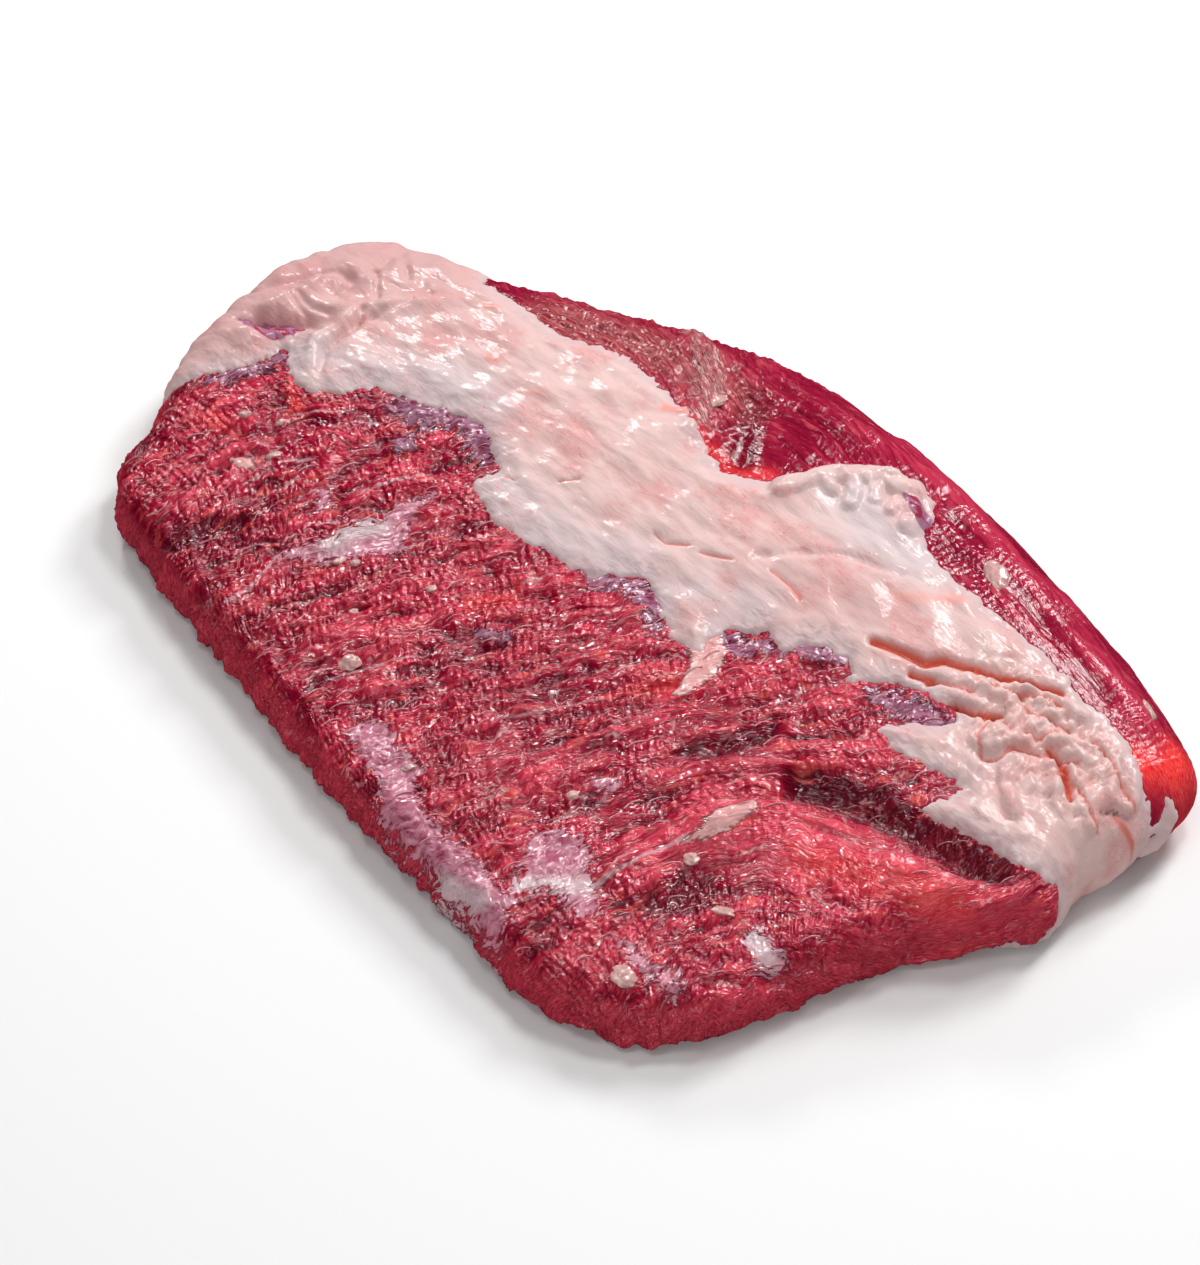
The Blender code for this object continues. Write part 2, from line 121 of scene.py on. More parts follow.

# How much each pattern adds to the height that picks the lean's colour and to the relief of the wet film,
# between which heights the body's and the crests' colours come in, and how much less shows under skin. Low
# heights take the valleys' painted shade and high ones the crests' painted light.
RISE_WEIGHT = 1.5
TONE_WEIGHTS = {"bundle": 0.35, "knots": 0.4, "fine": 0.6, "streaks": 2.1, "grit": 0.1}
FILM_WEIGHTS = {"crimp": 0.6, "knots": 0.35, "streaks": 1.2, "fine": 0.12, "tears": 1.2}
RUNG_WEIGHT = 1.8
BODY_HEIGHTS = (1.8, 2.8)
CREST_HEIGHTS = (2.6, 3.7)
SKIN_CALM = 0.6
FILM_CALM = 0.7

# The trimmed edge, seen from above: x, y, height and radius of roll of each station. UNDERCUT is how far the
# lower half turns in, as a share of its height.
NEAR_SIDE = (
    (-206, -78, 12, 12), (-186, -95, 11, 10), (-150, -103, 10, 9), (-84, -115, 10, 9),
    (-10, -129, 10, 9), (60, -137, 10, 10),
)
RIGHT_END = (
    (105, -142, 10, 11), (139, -133, 10, 12), (161, -114, 11, 12), (176, -85, 11, 12), (193, -34, 11, 12),
    (215, 1, 11, 12), (226, 16, 12, 12), (221, 38, 16, 14), (227, 62, 18, 16), (231, 86, 20, 18),
)
FAR_SIDE = (
    (222, 108, 22, 22), (181, 126, 24, 28), (121, 141, 26, 32), (60, 150, 26, 34), (0, 153, 26, 34),
    (-50, 145, 26, 32), (-100, 125, 24, 30), (-160, 101, 24, 28),
)
LEFT_END = (
    (-211, 82, 22, 24), (-234, 44, 20, 22), (-236, 6, 18, 20), (-226, -29, 16, 18), (-211, -57, 14, 14),
)
SIDES = (NEAR_SIDE, RIGHT_END, FAR_SIDE, LEFT_END)
UNDERCUT = 0.75

# The top's height in mm over a lattice of places seen from above.
LATTICE_X = (-240, -160, -80, 0, 80, 160, 240)
LATTICE_Y = (-150, -75, 0, 75, 150)
TOP_HEIGHTS = (
    (24, 26, 27, 28, 28, 27, 25),
    (30, 34, 36, 37, 36, 33, 28),
    (42, 48, 50, 50, 47, 42, 34),
    (46, 58, 64, 65, 61, 52, 40),
    (44, 50, 58, 62, 60, 50, 38),
)

# The band of hard fat where it shows on top, and how far it slants under the flat for each mm down.
SEAM_TO_FLAT = (
    (-219, -35), (-205, -25), (-194, -10), (-188, 4), (-178, -4), (-166, -7), (-154, -2), (-140, 11),
    (-119, 17), (-99, 24), (-80, 21), (-68, 12), (-71, 2), (-58, -3), (-42, -6), (-24, -3), (-6, -3),
    (8, 8), (19, 13), (30, 7), (44, 0), (57, 1), (57, 14), (70, 26), (81, 24), (89, 34), (103, 37),
    (112, 31), (124, 42), (144, 48), (152, 43), (133, 24), (148, 21), (174, 26), (168, 9), (184, 12),
    (205, 17), (219, 20), (226, 32),
)
SEAM_RIGHT_END = ((262, 32), (264, 92))
SEAM_TO_POINT = (
    (230, 93), (229, 79), (217, 78), (203, 87), (183, 88), (155, 93), (127, 93), (107, 94), (96, 95),
    (84, 101), (80, 112), (69, 121), (57, 121), (42, 111), (33, 99), (25, 80), (11, 70), (-2, 70),
    (-18, 77), (-40, 84), (-73, 87), (-99, 79), (-129, 82), (-153, 88),
)
SEAM_LEFT_END = ((-176, 140), (-264, 132), (-266, -36))
SEAM_SLANT = 0.4
SEAM_STEPS = 4

# The fine grid, how far the sheet of each kind of meat runs on under the other, how high the fat's underside
# lies, and a place in each sheet, in mm.
RINGS = 40
ACROSS_CELLS = 434
DEEP_CELLS = 253
FAT_UNDER = 3.5
LEAN_UNDER = 5.0
UNDERSIDE_STEP = 4.0
FAT_LIFT = 0.7
SHEET_STARTS = {"flat_lean": (0, -60), "hard_fat": (-50, 40), "point_lean": (100, 118)}

# Where the grain bends: x, y, radius, and the turn in degrees. GRAINS adds its angle to +X and its wander.
FLAT_BENDS = (
    (-196, -62, 42, 33), (168, -36, 40, -38), (118, -126, 34, 18), (-18, -40, 60, -8), (70, -10, 50, -12),
)
POINT_BENDS = ((-110, 105, 50, 22), (0, 105, 26, 35))
GRAINS = {
    "flat_lean": (60.0, FLAT_BENDS, 1.0),
    "hard_fat": (60.0, FLAT_BENDS, 1.0),
    "point_lean": (-12.0, POINT_BENDS, 0.4),
}

# Waves of the surface: height, width across and length along the grain in mm, and the noise's number. In the
# BUNDLES they stand out round from sharp valleys. The BORDER_WAVES fray the fat's border.
FLAT_WAVES = ((1.7, 7, 34, 1), (1.6, 18, 50, 2))
FLAT_BUNDLES = ((1.8, 4.4, 26, 3), (1.1, 2.1, 14, 4))
FLAT_KNOBS = ((0.25, 2.0, 2.0, 5), (1.2, 8, 8, 9))
POINT_WAVES = ((0.9, 5, 40, 51), (1.3, 16, 40, 52))
POINT_BUNDLES = ((0.5, 2.4, 30, 53),)
POINT_KNOBS = ((0.12, 2.4, 2.4, 55),)
POINT_ROUGH = ((1.2, 3.2, 3.2, 56), (0.9, 7, 7, 57))
FAT_LUMPS = ((1.2, 16, 11, 13), (0.5, 11, 4.5, 14), (0.12, 5, 2.2, 15))
BORDER_WAVES = ((1.7, 5.5, 5.5, 31), (0.9, 2, 2, 32))
ROW_WIDTH = 5.2
CRIMP_LENGTH = 3.7
CRIMP_HEIGHT = 0.55

# How high the fat stands and how far in from its border it does so, and how deep its chips, cracks and packed
# folds are, in mm. Packed folds lie across WORM_TURN, the cosine and sine of their angle.
FAT_RISE = 3.0
FAT_BRINK = 9.0
CHIP_DEPTH = 0.6
CRACK_DEPTH = 3.8
WORM_DEPTH = 3.0
WORM_TURN = (0.82, 0.57)

# How much flatter the lean is beside the fat and how far from it, how much flatter under skin, how steeply
# each sheet dips under the other, how high thin fat stands, and how far ridges of lean reach into the fat.
FLATTER_BESIDE = 0.55
BESIDE_REACH = 9
FLATTER_UNDER_SKIN = 0.55
LEAN_DIP = 1.5
FAT_DIP = 1.2
PALE_RISE = 1.5
HILLS_REACH = 14

# The lowest rings of the edge rise by a small step each, and the relief comes in over the first of them.
LOWEST_RINGS = 10
LOWEST_STEP = 0.12
FOOT_RINGS = 3

# The lean's colour at mean height, the mm from its darkest to its lightest height, and how much lighter it
# is painted on the right, standing for glints there.
MEAN_RISE = 0.45
RISE_SPAN = 5
PAINTED_GLINTS_RIGHT = 0.14

# Ridges, and with a height below 0 furrows: height, half width, and the line that each follows.
LEAN_RIDGES = (
    (5.0, 13, ((113, -50), (128, -40), (145, -31), (163, -24), (179, -18), (194, -12), (214, -6))),
    (-9.0, 7, ((126, -14), (140, -8), (155, -3), (173, 0), (190, 3), (206, 7))),
    (-3.5, 4, ((86, -33), (95, -21), (102, -6))),
    (-5.0, 5, ((-150, -100), (-141, -82), (-135, -72))),
    (-3.0, 7, ((118, -96), (134, -70))),
    (2.5, 9, ((-60, -90), (-30, -40))),
    (4.0, 6, ((-63, 123), (-43, 113), (-32, 97), (-20, 76))),
    (2.0, 3, ((-32, 107), (-22, 98), (-13, 90))),
    (-3.5, 6, ((-12, 104), (0, 88), (6, 78))),
    (1.6, 3, ((3, 129), (35, 130), (71, 127))),
    (-1.6, 3, ((88, 119), (122, 111), (155, 103), (186, 97))),
    (2.0, 8, ((40, 145), (90, 128), (150, 112), (200, 98))),
)
FAT_RIDGES = (
    (2.6, 5, ((-178, 6), (-181, 22), (-175, 40), (-162, 50), (-150, 62))),
    (3.0, 5, ((-212, 14), (-206, 34), (-202, 52), (-188, 52))),
    (2.6, 6, ((-228, 36), (-222, 66), (-205, 82))),
    (-4.0, 5, ((-209, 8), (-197, 16), (-185, 24))),
    (-2.5, 4, ((-194, 38), (-191, 60), (-196, 76))),
    (3.5, 6, ((-207, -2), (-214, -10))),
)

# Folds of fat that stand out round, and cracks: radius or half width, and line.
FAT_FOLDS = (
    (5.6, ((30, 77), (37, 93), (46, 104), (57, 112), (67, 112))),
    (4.4, ((57, 112), (67, 112), (75, 106), (79, 98))),
    (3.6, ((38, 92), (45, 90))),
    (3.8, ((46, 101), (52, 96), (55, 90))),
    (3.6, ((56, 105), (61, 99))),
    (3.4, ((67, 106), (69, 99))),
    (6.5, ((166, 46), (172, 52))),
    (3.2, ((151, 64), (160, 66), (166, 64), (170, 57))),
    (2.8, ((177, 72), (174, 65), (178, 56))),
    (3.4, ((182, 64), (188, 67), (197, 66))),
    (3.4, ((160, 72), (170, 76), (186, 81))),
    (3.2, ((198, 76), (206, 74), (213, 66), (219, 61))),
    (3.2, ((206, 80), (215, 78), (221, 71), (224, 66))),
    (3.0, ((197, 59), (206, 55), (214, 52), (219, 49))),
    (3.2, ((190, 55), (199, 49), (207, 44))),
    (3.4, ((178, 44), (186, 36), (194, 30))),
)
FAT_CRACKS = (
    (1.9, ((106, 48), (117, 52), (127, 55), (132, 61), (147, 69), (163, 77), (172, 83))),
    (1.4, ((147, 50), (156, 52), (163, 58))),
    (1.5, ((186, 60), (196, 58), (205, 50))),
    (1.5, ((126, 48), (134, 52))),
)

# Thin creases in the fat, coloured like it, and red cuts and chips in it: depth, half width, line.
FAT_CREASES = (
    (2.0, 1.8, ((-192, 74), (-182, 67), (-175, 62))),
    (2.4, 1.6, ((-191, 58), (-183, 51), (-176, 45))),
    (1.8, 1.6, ((-208, 27), (-197, 25), (-188, 28))),
    (3.0, 2.0, ((-176, 36), (-172, 29), (-173, 19), (-173, 12), (-166, 2))),
    (2.2, 1.8, ((-218, 1), (-206, 10), (-194, 19))),
    (1.8, 2.2, ((-231, 19), (-217, 31), (-206, 44), (-195, 48))),
    (1.6, 1.6, ((-210, 24), (-193, 21), (-183, 17))),
    (1.6, 2.0, ((-159, 60), (-164, 47), (-168, 39), (-174, 28))),
    (1.4, 1.6, ((-13, -6), (2, 1), (19, 7))),
    (1.4, 2.0, ((46, 47), (57, 59), (73, 71), (93, 78))),
)
FAT_CUTS = (
    (2.4, 1.2, ((145, 49), (152, 51), (157, 52), (162, 54), (167, 56), (170, 55))),
    (2.4, 1.2, ((167, 56), (163, 49), (164, 43), (171, 39), (176, 43), (176, 50))),
    (2.2, 1.1, ((176, 50), (181, 54), (189, 58), (198, 64))),
    (2.4, 1.2, ((195, 56), (202, 55), (209, 54), (213, 52), (218, 50))),
    (3.0, 1.6, ((220, 59), (226, 62))),
    (2.2, 1.2, ((133, 49), (136, 53), (141, 55), (149, 59))),
    (2.0, 1.1, ((163, 70), (170, 67), (176, 69), (186, 72))),
    (2.2, 1.1, ((195, 75), (205, 74), (215, 69), (222, 67))),
    (2.0, 1.1, ((184, 69), (181, 61), (175, 59))),
    (1.8, 1.1, ((152, 65), (160, 68), (169, 75), (177, 77))),
    (0.8, 0.8, ((6, 28), (13, 28), (21, 33))),
    (0.8, 0.8, ((26, 33), (39, 38))),
    (1.0, 1.0, ((54, 45), (65, 45), (72, 43))),
    (0.6, 0.7, ((-42, 22), (-36, 28))),
    (0.6, 0.7, ((-62, 11), (-57, 12))),
)
FAT_CHIPS = (
    (0.9, 2.2, ((-35, 76), (-29, 79), (-24, 81))),
    (0.7, 1.6, ((-135, 69), (-131, 71))),
    (0.7, 1.6, ((-112, 49), (-108, 50))),
    (0.5, 3.0, ((100, 70), (110, 77), (117, 87))),
    (0.5, 1.6, ((-88, 45), (-80, 48))),
)
FAT_WINDOWS = (
    (1.0, 3, ((-218, 2), (-206, 11), (-194, 19), (-188, 14), (-195, 2), (-209, -2))),
    (1.0, 3, ((67, 108), (72, 111), (81, 110), (85, 104), (79, 102))),
)
BLUSH = (
    (1.0, 45, ((-225, 10), (-215, 55), (-180, 80))),
    (0.5, 16, ((-150, 50), (-120, 60))),
    (0.5, 14, ((60, 40), (100, 62))),
)

# Patches: strength, softness of the border, and outline. Marks: strength, half width and line. VEILS are
# silverskin on the lean, WHITES where it is thickest, MEMBRANES the purple skin beside the fat, PALES thin
# fat on the lean, STRANDS pale lines on it, and DARKS its dark places, smooth in SMOOTH_DARKS: stains, and
# painted shade in its furrows. WORMS is where the fat's packed folds are.
VEILS = (
    (1.0, 6, ((-109, -72), (-97, -50), (-95, -43), (-88, -35), (-88, -24), (-80, -12), (-80, -24), (-77, -27),
              (-75, -34), (-71, -39), (-76, -46), (-86, -54), (-94, -64))),
    (1.0, 6, ((-22, -115), (-19, -105), (-7, -103), (-1, -107), (13, -107), (17, -115), (29, -121),
              (47, -122), (56, -121), (70, -125), (83, -125), (88, -136), (89, -140), (78, -138),
              (68, -137), (54, -136), (47, -133), (31, -132), (13, -130), (7, -123), (-8, -117))),
    (1.0, 6, ((67, -101), (71, -94), (79, -90), (91, -91), (92, -97), (110, -106), (103, -114), (90, -111),
              (83, -118), (78, -128), (77, -114))),
    (0.8, 4, ((65, -67), (70, -61), (77, -62), (74, -68))),
    (0.8, 6, ((123, -111), (131, -109), (140, -109), (149, -106), (156, -109), (153, -114), (145, -115),
              (136, -117))),
    (1.0, 6, ((156, -77), (160, -71), (167, -73), (174, -74), (175, -78), (170, -83), (162, -81))),
    (0.9, 4, ((-122, -40), (-116, -37), (-109, -43), (-113, -47))),
)
WHITES = (
    (1.0, 5, ((-97, -54), (-93, -45), (-86, -38))),
    (0.9, 4, ((53, -135), (66, -134), (73, -133))),
    (1.0, 4, ((80, -118), (91, -109), (100, -100))),
    (0.9, 4, ((160, -76), (170, -78))),
)
MEMBRANES = (
    (1.0, 7, ((-130, 5), (-129, 14), (-114, 24), (-98, 27), (-85, 25), (-74, 17), (-72, 10), (-83, 13),
              (-97, 16), (-111, 9))),
    (0.9, 3, ((-116, -4), (-110, 6), (-102, -2), (-107, -8))),
    (1.0, 7, ((-4, -1), (9, 8), (29, 15), (34, 8), (38, -4), (27, 1), (14, 1), (3, -6))),
    (1.0, 7, ((54, 13), (71, 21), (89, 36), (104, 44), (110, 40), (96, 29), (75, 17), (61, -2), (53, 0))),
    (1.0, 7, ((117, 31), (127, 40), (139, 44), (152, 45), (160, 37), (149, 34), (135, 32), (123, 28))),
    (1.0, 7, ((-206, -32), (-200, -19), (-191, -8), (-187, 5), (-183, -1), (-188, -18), (-200, -30))),
    (0.9, 3, ((-20, -48), (-7, -39), (-5, -43), (-15, -51))),
)
PALES = (
    (0.46, 3, ((-68, 127), (-40, 119), (-24, 101), (-11, 79), (-23, 74), (-37, 92), (-52, 109), (-68, 119))),
    (1.0, 3, ((113, -65), (115, -58), (115, -47), (121, -34), (125, -37), (124, -47), (119, -59))),
    (1.0, 3, ((50, 2), (58, 12), (66, 8), (69, -3), (67, -15), (63, -20), (60, -8), (56, -2))),
    (1.0, 3, ((-163, -52), (-156, -46), (-149, -49), (-155, -53))),
)
STRANDS = (
    (0.9, 1.3, ((100, -100), (102, -88), (108, -74), (113, -63))),
    (0.8, 1.0, ((84, -125), (91, -109), (100, -100))),
    (0.7, 0.9, ((18, -73), (29, -59), (43, -37))),
    (0.7, 0.9, ((-47, -101), (-34, -80), (-22, -64))),
    (0.9, 1.0, ((-144, -40), (-135, -31))),
    (0.8, 0.9, ((-159, -19), (-140, -4))),
    (0.8, 0.9, ((-137, -9), (-126, 0))),
    (0.9, 1.0, ((-102, -25), (-90, -8))),
    (0.8, 1.2, ((-109, -72), (-104, -92), (-107, -103))),
)
WORMS = ((1.0, 22, ((158, 62), (178, 60), (205, 60))),)

DARKS = (
    (0.6, 12, ((-169, -91), (-141, -93), (-127, -91))),
    (0.8, 8, ((-121, -106), (-102, -108), (-88, -109))),
    (0.6, 9, ((-71, -97), (-54, -89))),
    (0.6, 9, ((10, -71), (30, -57))),
    (0.6, 9, ((11, -103), (33, -88))),
    (0.5, 9, ((34, -117), (55, -108))),
    (0.6, 9, ((89, -131), (111, -129))),
    (0.7, 12, ((165, -12), (186, -3), (206, 2))),
    (0.8, 8, ((87, -34), (102, -12))),
)
SMOOTH_DARKS = (
    (0.6, 9, ((123, -70), (139, -56))),
    (1.0, 7, ((131, -16), (144, -9), (158, -2), (173, 0), (190, 4), (208, 7))),
)

# Kernels of fat in the lean: x, y, half length, half width, and the angle. All have one half height in mm.
FLAT_KERNELS = (
    (-46, -91, 4.5, 3.4, 60), (137, -121, 5.0, 4.2, 20), (144, -76, 5.0, 2.6, 20), (-149, -39, 3.6, 2.2, 60),
    (65, -77, 2.6, 2.2, 60), (-159, -26, 2.4, 1.5, 60), (-174, -33, 3.0, 1.6, 60), (-87, -59, 2.8, 2.2, 60),
    (-81, -56, 2.6, 1.8, 20), (-64, -72, 2.2, 1.8, 60), (120, -68, 3.2, 2.8, 30), (-46, -46, 2.2, 1.8, 60),
    (9, -110, 3.0, 1.4, 60),
)
POINT_KERNELS = ((117, 108, 7.0, 4.4, -25), (-22, 94, 4.6, 3.2, 60), (199, 106, 5.5, 2.4, -30))
KERNEL_HALF_HEIGHT = 1.3

# The strands: the share of places that take one, half the length in m, the seed, and the spread of sizes.
STRAND_SETTINGS = {"Share": 0.30, "Length": 0.0036, "Seed": 4}
STRAND_SIZES = (0.35, 1.25)

# Bright red and brownish meat, and fat that turns bluish where it thins out.
REDS = (
    (1.0, 9, ((212, 82), (222, 92), (219, 101))),
    (0.5, 5, ((-22, 76), (-8, 73), (8, 72), (20, 80))),
    (0.7, 3, ((-172, -9), (-163, -14), (-158, -17))),
    (0.6, 4, ((-30, -42), (-18, -29))),
    (0.6, 6, ((150, -40), (172, -31), (191, -19), (212, -8))),
    (0.5, 5, ((51, -26), (63, -10))),
    (0.5, 5, ((-188, -44), (-179, -41))),
)
BROWNS = (
    (0.9, 14, ((-110, 88), (-80, 96), (-48, 104), (-25, 100))),
)
BLUES = (
    (0.9, 11, ((-175, 8), (-150, 14), (-114, 32), (-92, 34))),
    (0.8, 12, ((-57, 6), (-16, 4), (9, 14))),
    (1.0, 14, ((55, 92), (72, 86), (92, 90))),
    (0.7, 10, ((30, 14), (60, 30))),
)


def catmull_rom(p0, p1, p2, p3, f):
    """The point at share f of the way from p1 to p2, on a smooth curve through four points."""
    bend = 2 * p0 - 5 * p1 + 4 * p2 - p3
    twist = p3 + 3 * p1 - p0 - 3 * p2
    return p1 + 0.5 * ((p2 - p0) * f + bend * f**2 + twist * f**3)


def closed_curve(stations, steps):
    """A smooth closed curve through the stations, with this many points from each to the next."""
    at = [np.roll(np.array(stations, float), -k, axis=0)[:, None] for k in (-1, 0, 1, 2)]
    share = (np.arange(steps) / steps)[None, :, None]
    return catmull_rom(*at, share).reshape(-1, at[0].shape[-1])


def outward(curve, reach):
    """Unit vectors that point out of a closed anticlockwise curve, smoothed over reach points each way."""
    along = np.roll(curve[:, :2], -reach, axis=0) - np.roll(curve[:, :2], reach, axis=0)
    across = np.stack([along[:, 1], -along[:, 0]], axis=1)
    return across / np.linalg.norm(across, axis=1, keepdims=True)


class Edge:
    """The trimmed edge: its place, height, roll and outward direction, by side and share of that side."""

    STEPS = 24

    def __init__(self):
        stations = [station for side in SIDES for station in side]
        curve = closed_curve(stations, self.STEPS)
        self.table = np.hstack([curve, outward(curve, self.STEPS)])
        self.starts = np.cumsum([0] + [len(side) * self.STEPS for side in SIDES])

    def at(self, side, share):
        """x, y, height, roll and outward x and y, at this share of a side's length."""
        rows = np.arange(self.starts[side], self.starts[side + 1] + 1) % len(self.table)
        table = self.table[rows]
        gone = np.cumsum(np.r_[0, np.hypot(*np.diff(table[:, :2], axis=0).T)])
        return np.stack([np.interp(share * gone[-1], gone, column) for column in table.T], axis=-1)


EDGE = Edge()


def top_height(x, y):
    """Height of the top at a place seen from above, in mm."""
    table = np.array(TOP_HEIGHTS, float)

    def lattice(value, lines):
        place = (np.clip(value, lines[0], lines[-1]) - lines[0]) / (lines[1] - lines[0])
        cell = np.minimum(place.astype(int), len(lines) - 2)
        return cell, place - cell

    def row(index, column, share):
        taken = [np.clip(column + k, 0, len(LATTICE_X) - 1) for k in (-1, 0, 1, 2)]
        index = np.clip(index, 0, len(LATTICE_Y) - 1)
        return catmull_rom(*[table[index, k] for k in taken], share)

    column, share_x = lattice(np.asarray(x, float), LATTICE_X)
    line, share_y = lattice(np.asarray(y, float), LATTICE_Y)
    return catmull_rom(*[row(line + k, column, share_x) for k in (-1, 0, 1, 2)], share_y)


def on_edge(side, share, angle):
    """Place and facing on the rolled edge at an angle, and the place spread out flat beside the top."""
    x, y, rim, roll, out_x, out_y = np.moveaxis(EDGE.at(side, share), -1, 0)
    crest_x, crest_y = x - roll * out_x, y - roll * out_y
    height = top_height(crest_x, crest_y)
    upper = np.sqrt((roll**2 + (height - rim) ** 2) / 2)
    gone = np.where(angle < 0, upper * math.pi / 2 - rim * angle, upper * (math.pi / 2 - angle))
    spread = np.stack([crest_x + gone * out_x, crest_y + gone * out_y], axis=-1)
    inset = np.where(angle < 0, UNDERCUT * rim, roll) * (1 - np.cos(angle))
    x, y = x - inset * out_x, y - inset * out_y
    rise = np.where(angle < 0, rim, top_height(x, y) - rim)
    place = np.stack([x, y, rim + rise * np.sin(angle)], axis=-1)
    facing = np.stack([out_x * np.cos(angle), out_y * np.cos(angle), np.sin(angle)], axis=-1)
    return place, facing, spread


def between_sides(a, b):
    """Seen from above, the point at shares a and b of the way across the top, blended from its four sides."""

    def side(index, share):
        return on_edge(index, share, np.full(len(share), math.pi / 2))[0][:, :2]

    zero, one = np.zeros(len(a)), np.ones(len(a))
    a_, b_ = a[:, None], b[:, None]
    lengthwise = (1 - b_) * side(0, a) + b_ * side(2, 1 - a)
    crosswise = (1 - a_) * side(3, 1 - b) + a_ * side(1, b)
    corners = (1 - b_) * ((1 - a_) * side(0, zero) + a_ * side(0, one))
    corners = corners + b_ * ((1 - a_) * side(2, one) + a_ * side(2, zero))
    return lengthwise + crosswise - corners


def pillow_points(i, j, nx, ny, angles):
    """Place, facing and spread place of grid corners i, j, and the ring of the edge that each lies on."""
    place = np.zeros((len(i), 3))
    spread = np.zeros((len(i), 2))
    facing = np.tile([0.0, 0.0, 1.0], (len(i), 1))
    ring = np.minimum(np.minimum(i, nx - i), np.minimum(j, ny - j))
    last = len(angles) - 1
    for k, angle in enumerate(angles):
        wide, deep = nx - 2 * k, ny - 2 * k
        on_sides = (
            (j == k, (i - k) / wide),
            (i == nx - k, (j - k) / deep),
            (j == ny - k, (nx - k - i) / wide),
            (i == k, (ny - k - j) / deep),
        )
        for side, (on_side, share) in enumerate(on_sides):
            chosen = on_side & (ring == k)
            radians = np.full(chosen.sum(), math.radians(angle))
            place[chosen], facing[chosen], spread[chosen] = on_edge(side, share[chosen], radians)
    inside = ring > last
    a = (i[inside] - last) / (nx - 2 * last)
    b = (j[inside] - last) / (ny - 2 * last)
    place[inside, :2] = spread[inside] = between_sides(a, b)
    place[inside, 2] = top_height(place[inside, 0], place[inside, 1])
    return place, facing, spread, ring


def smooth(low, high, value):
    """0 below low, 1 above high, and a smooth step between."""
    share = np.clip((value - low) / (high - low), 0, 1)
    return share * share * (3 - 2 * share)


TURNS = np.random.default_rng(20).uniform(0, 2 * math.pi, (256, 256))


def waves(u, v, seed):
    """Smooth noise from about -1 to 1 at places u, v, whose features are about 2 units wide."""
    u, v = u + 37.7 * seed, v + 71.3 * seed
    column, row = np.floor(u).astype(int), np.floor(v).astype(int)
    du, dv = u - column, v - row

    def corner(a, b):
        turn = TURNS[(column + a) % 256, (row + b) % 256]
        return np.cos(turn) * (du - a) + np.sin(turn) * (dv - b)

    fade_u, fade_v = (t * t * t * (t * (6 * t - 15) + 10) for t in (du, dv))
    low = corner(0, 0) * (1 - fade_u) + corner(1, 0) * fade_u
    high = corner(0, 1) * (1 - fade_u) + corner(1, 1) * fade_u
    return 1.6 * (low * (1 - fade_v) + high * fade_v)


def line_distance(x, y, points, closed=False):
    """Distance from places to a line through points, seen from above."""
    points = np.array(points, float)
    ends = np.roll(points, -1, axis=0) if closed else points[1:]
    nearest = np.full(len(x), 1e9)
    for (x0, y0), (x1, y1) in zip(points, ends):
        dx, dy = x1 - x0, y1 - y0
        share = np.clip(((x - x0) * dx + (y - y0) * dy) / (dx * dx + dy * dy), 0, 1)
        nearest = np.minimum(nearest, (x - x0 - share * dx) ** 2 + (y - y0 - share * dy) ** 2)
    return np.sqrt(nearest)


def within(x, y, outline):
    """Whether places lie in a closed outline."""
    inside = np.zeros(len(x), bool)
    for (x0, y0), (x1, y1) in zip(outline, np.roll(outline, -1, axis=0)):
        if y0 != y1:
            crosses = ((y0 > y) != (y1 > y)) & (x < x0 + (y - y0) * (x1 - x0) / (y1 - y0))
            inside ^= crosses
    return inside


def ridges(x, y, table):
    """The height of some ridges and furrows together."""
    height = np.zeros(len(x))
    for peak, half_width, line in table:
        height += peak * np.exp(-((line_distance(x, y, line) / half_width) ** 2))
    return height


def marks(x, y, table):
    """How strongly some marks show at each place, from 0 to 1, the strongest where they overlap."""
    shown = np.zeros(len(x))
    for strength, half_width, line in table:
        fade = strength * np.exp(-((line_distance(x, y, line) / half_width) ** 2))
        shown = np.maximum(shown, fade)
    return shown


def patches(x, y, table):
    """The same for marks that are patches with an outline."""
    shown = np.zeros(len(x))
    for strength, soft, outline in table:
        distance = line_distance(x, y, outline, closed=True)
        distance = np.where(within(x, y, np.array(outline, float)), distance, -distance)
        shown = np.maximum(shown, strength * smooth(-soft, soft, distance))
    return shown


def grain_place(x, y, angle, bends, wander):
    """Distances across and along the grain, which bends from place to place and wanders a little."""
    for centre_x, centre_y, radius, turn in bends:
        dx, dy = x - centre_x, y - centre_y
        twist = -math.radians(turn) * np.exp(-(dx**2 + dy**2) / (2 * radius**2))
        x = centre_x + dx * np.cos(twist) - dy * np.sin(twist)
        y = centre_y + dx * np.sin(twist) + dy * np.cos(twist)
    turn = math.radians(angle)
    across, along = y * math.cos(turn) - x * math.sin(turn), x * math.cos(turn) + y * math.sin(turn)
    across = across + wander * (2.4 * waves(x / 11, y / 11, 41) + 1.0 * waves(x / 4.5, y / 4.5, 42))
    return across, along


def seam_side(place):
    """Distance to the seam's border in mm: above 0 in the fat and below 0 in the lean."""
    stations = SEAM_TO_FLAT + SEAM_RIGHT_END + SEAM_TO_POINT + SEAM_LEFT_END
    outline = closed_curve(stations, SEAM_STEPS)
    x, y, z = place.T
    y = y + SEAM_SLANT * (top_height(x, y) - z)
    distance = line_distance(x, y, outline, closed=True)
    return np.where(within(x, y, outline), distance, -distance)


def rolls(across, along, table, shape=np.asarray):
    """Some waves of the surface together in mm, each passed through a function that shapes it."""
    height = np.zeros(len(across))
    for peak, width, length, seed in table:
        height += peak * shape(waves(across / width, along / length, seed))
    return height


def scattered(number):
    """A share from 0 to 1 that jumps about from one whole number to the next."""
    return np.modf(np.abs(np.sin(number * 12.9898)) * 43758.5453)[0]


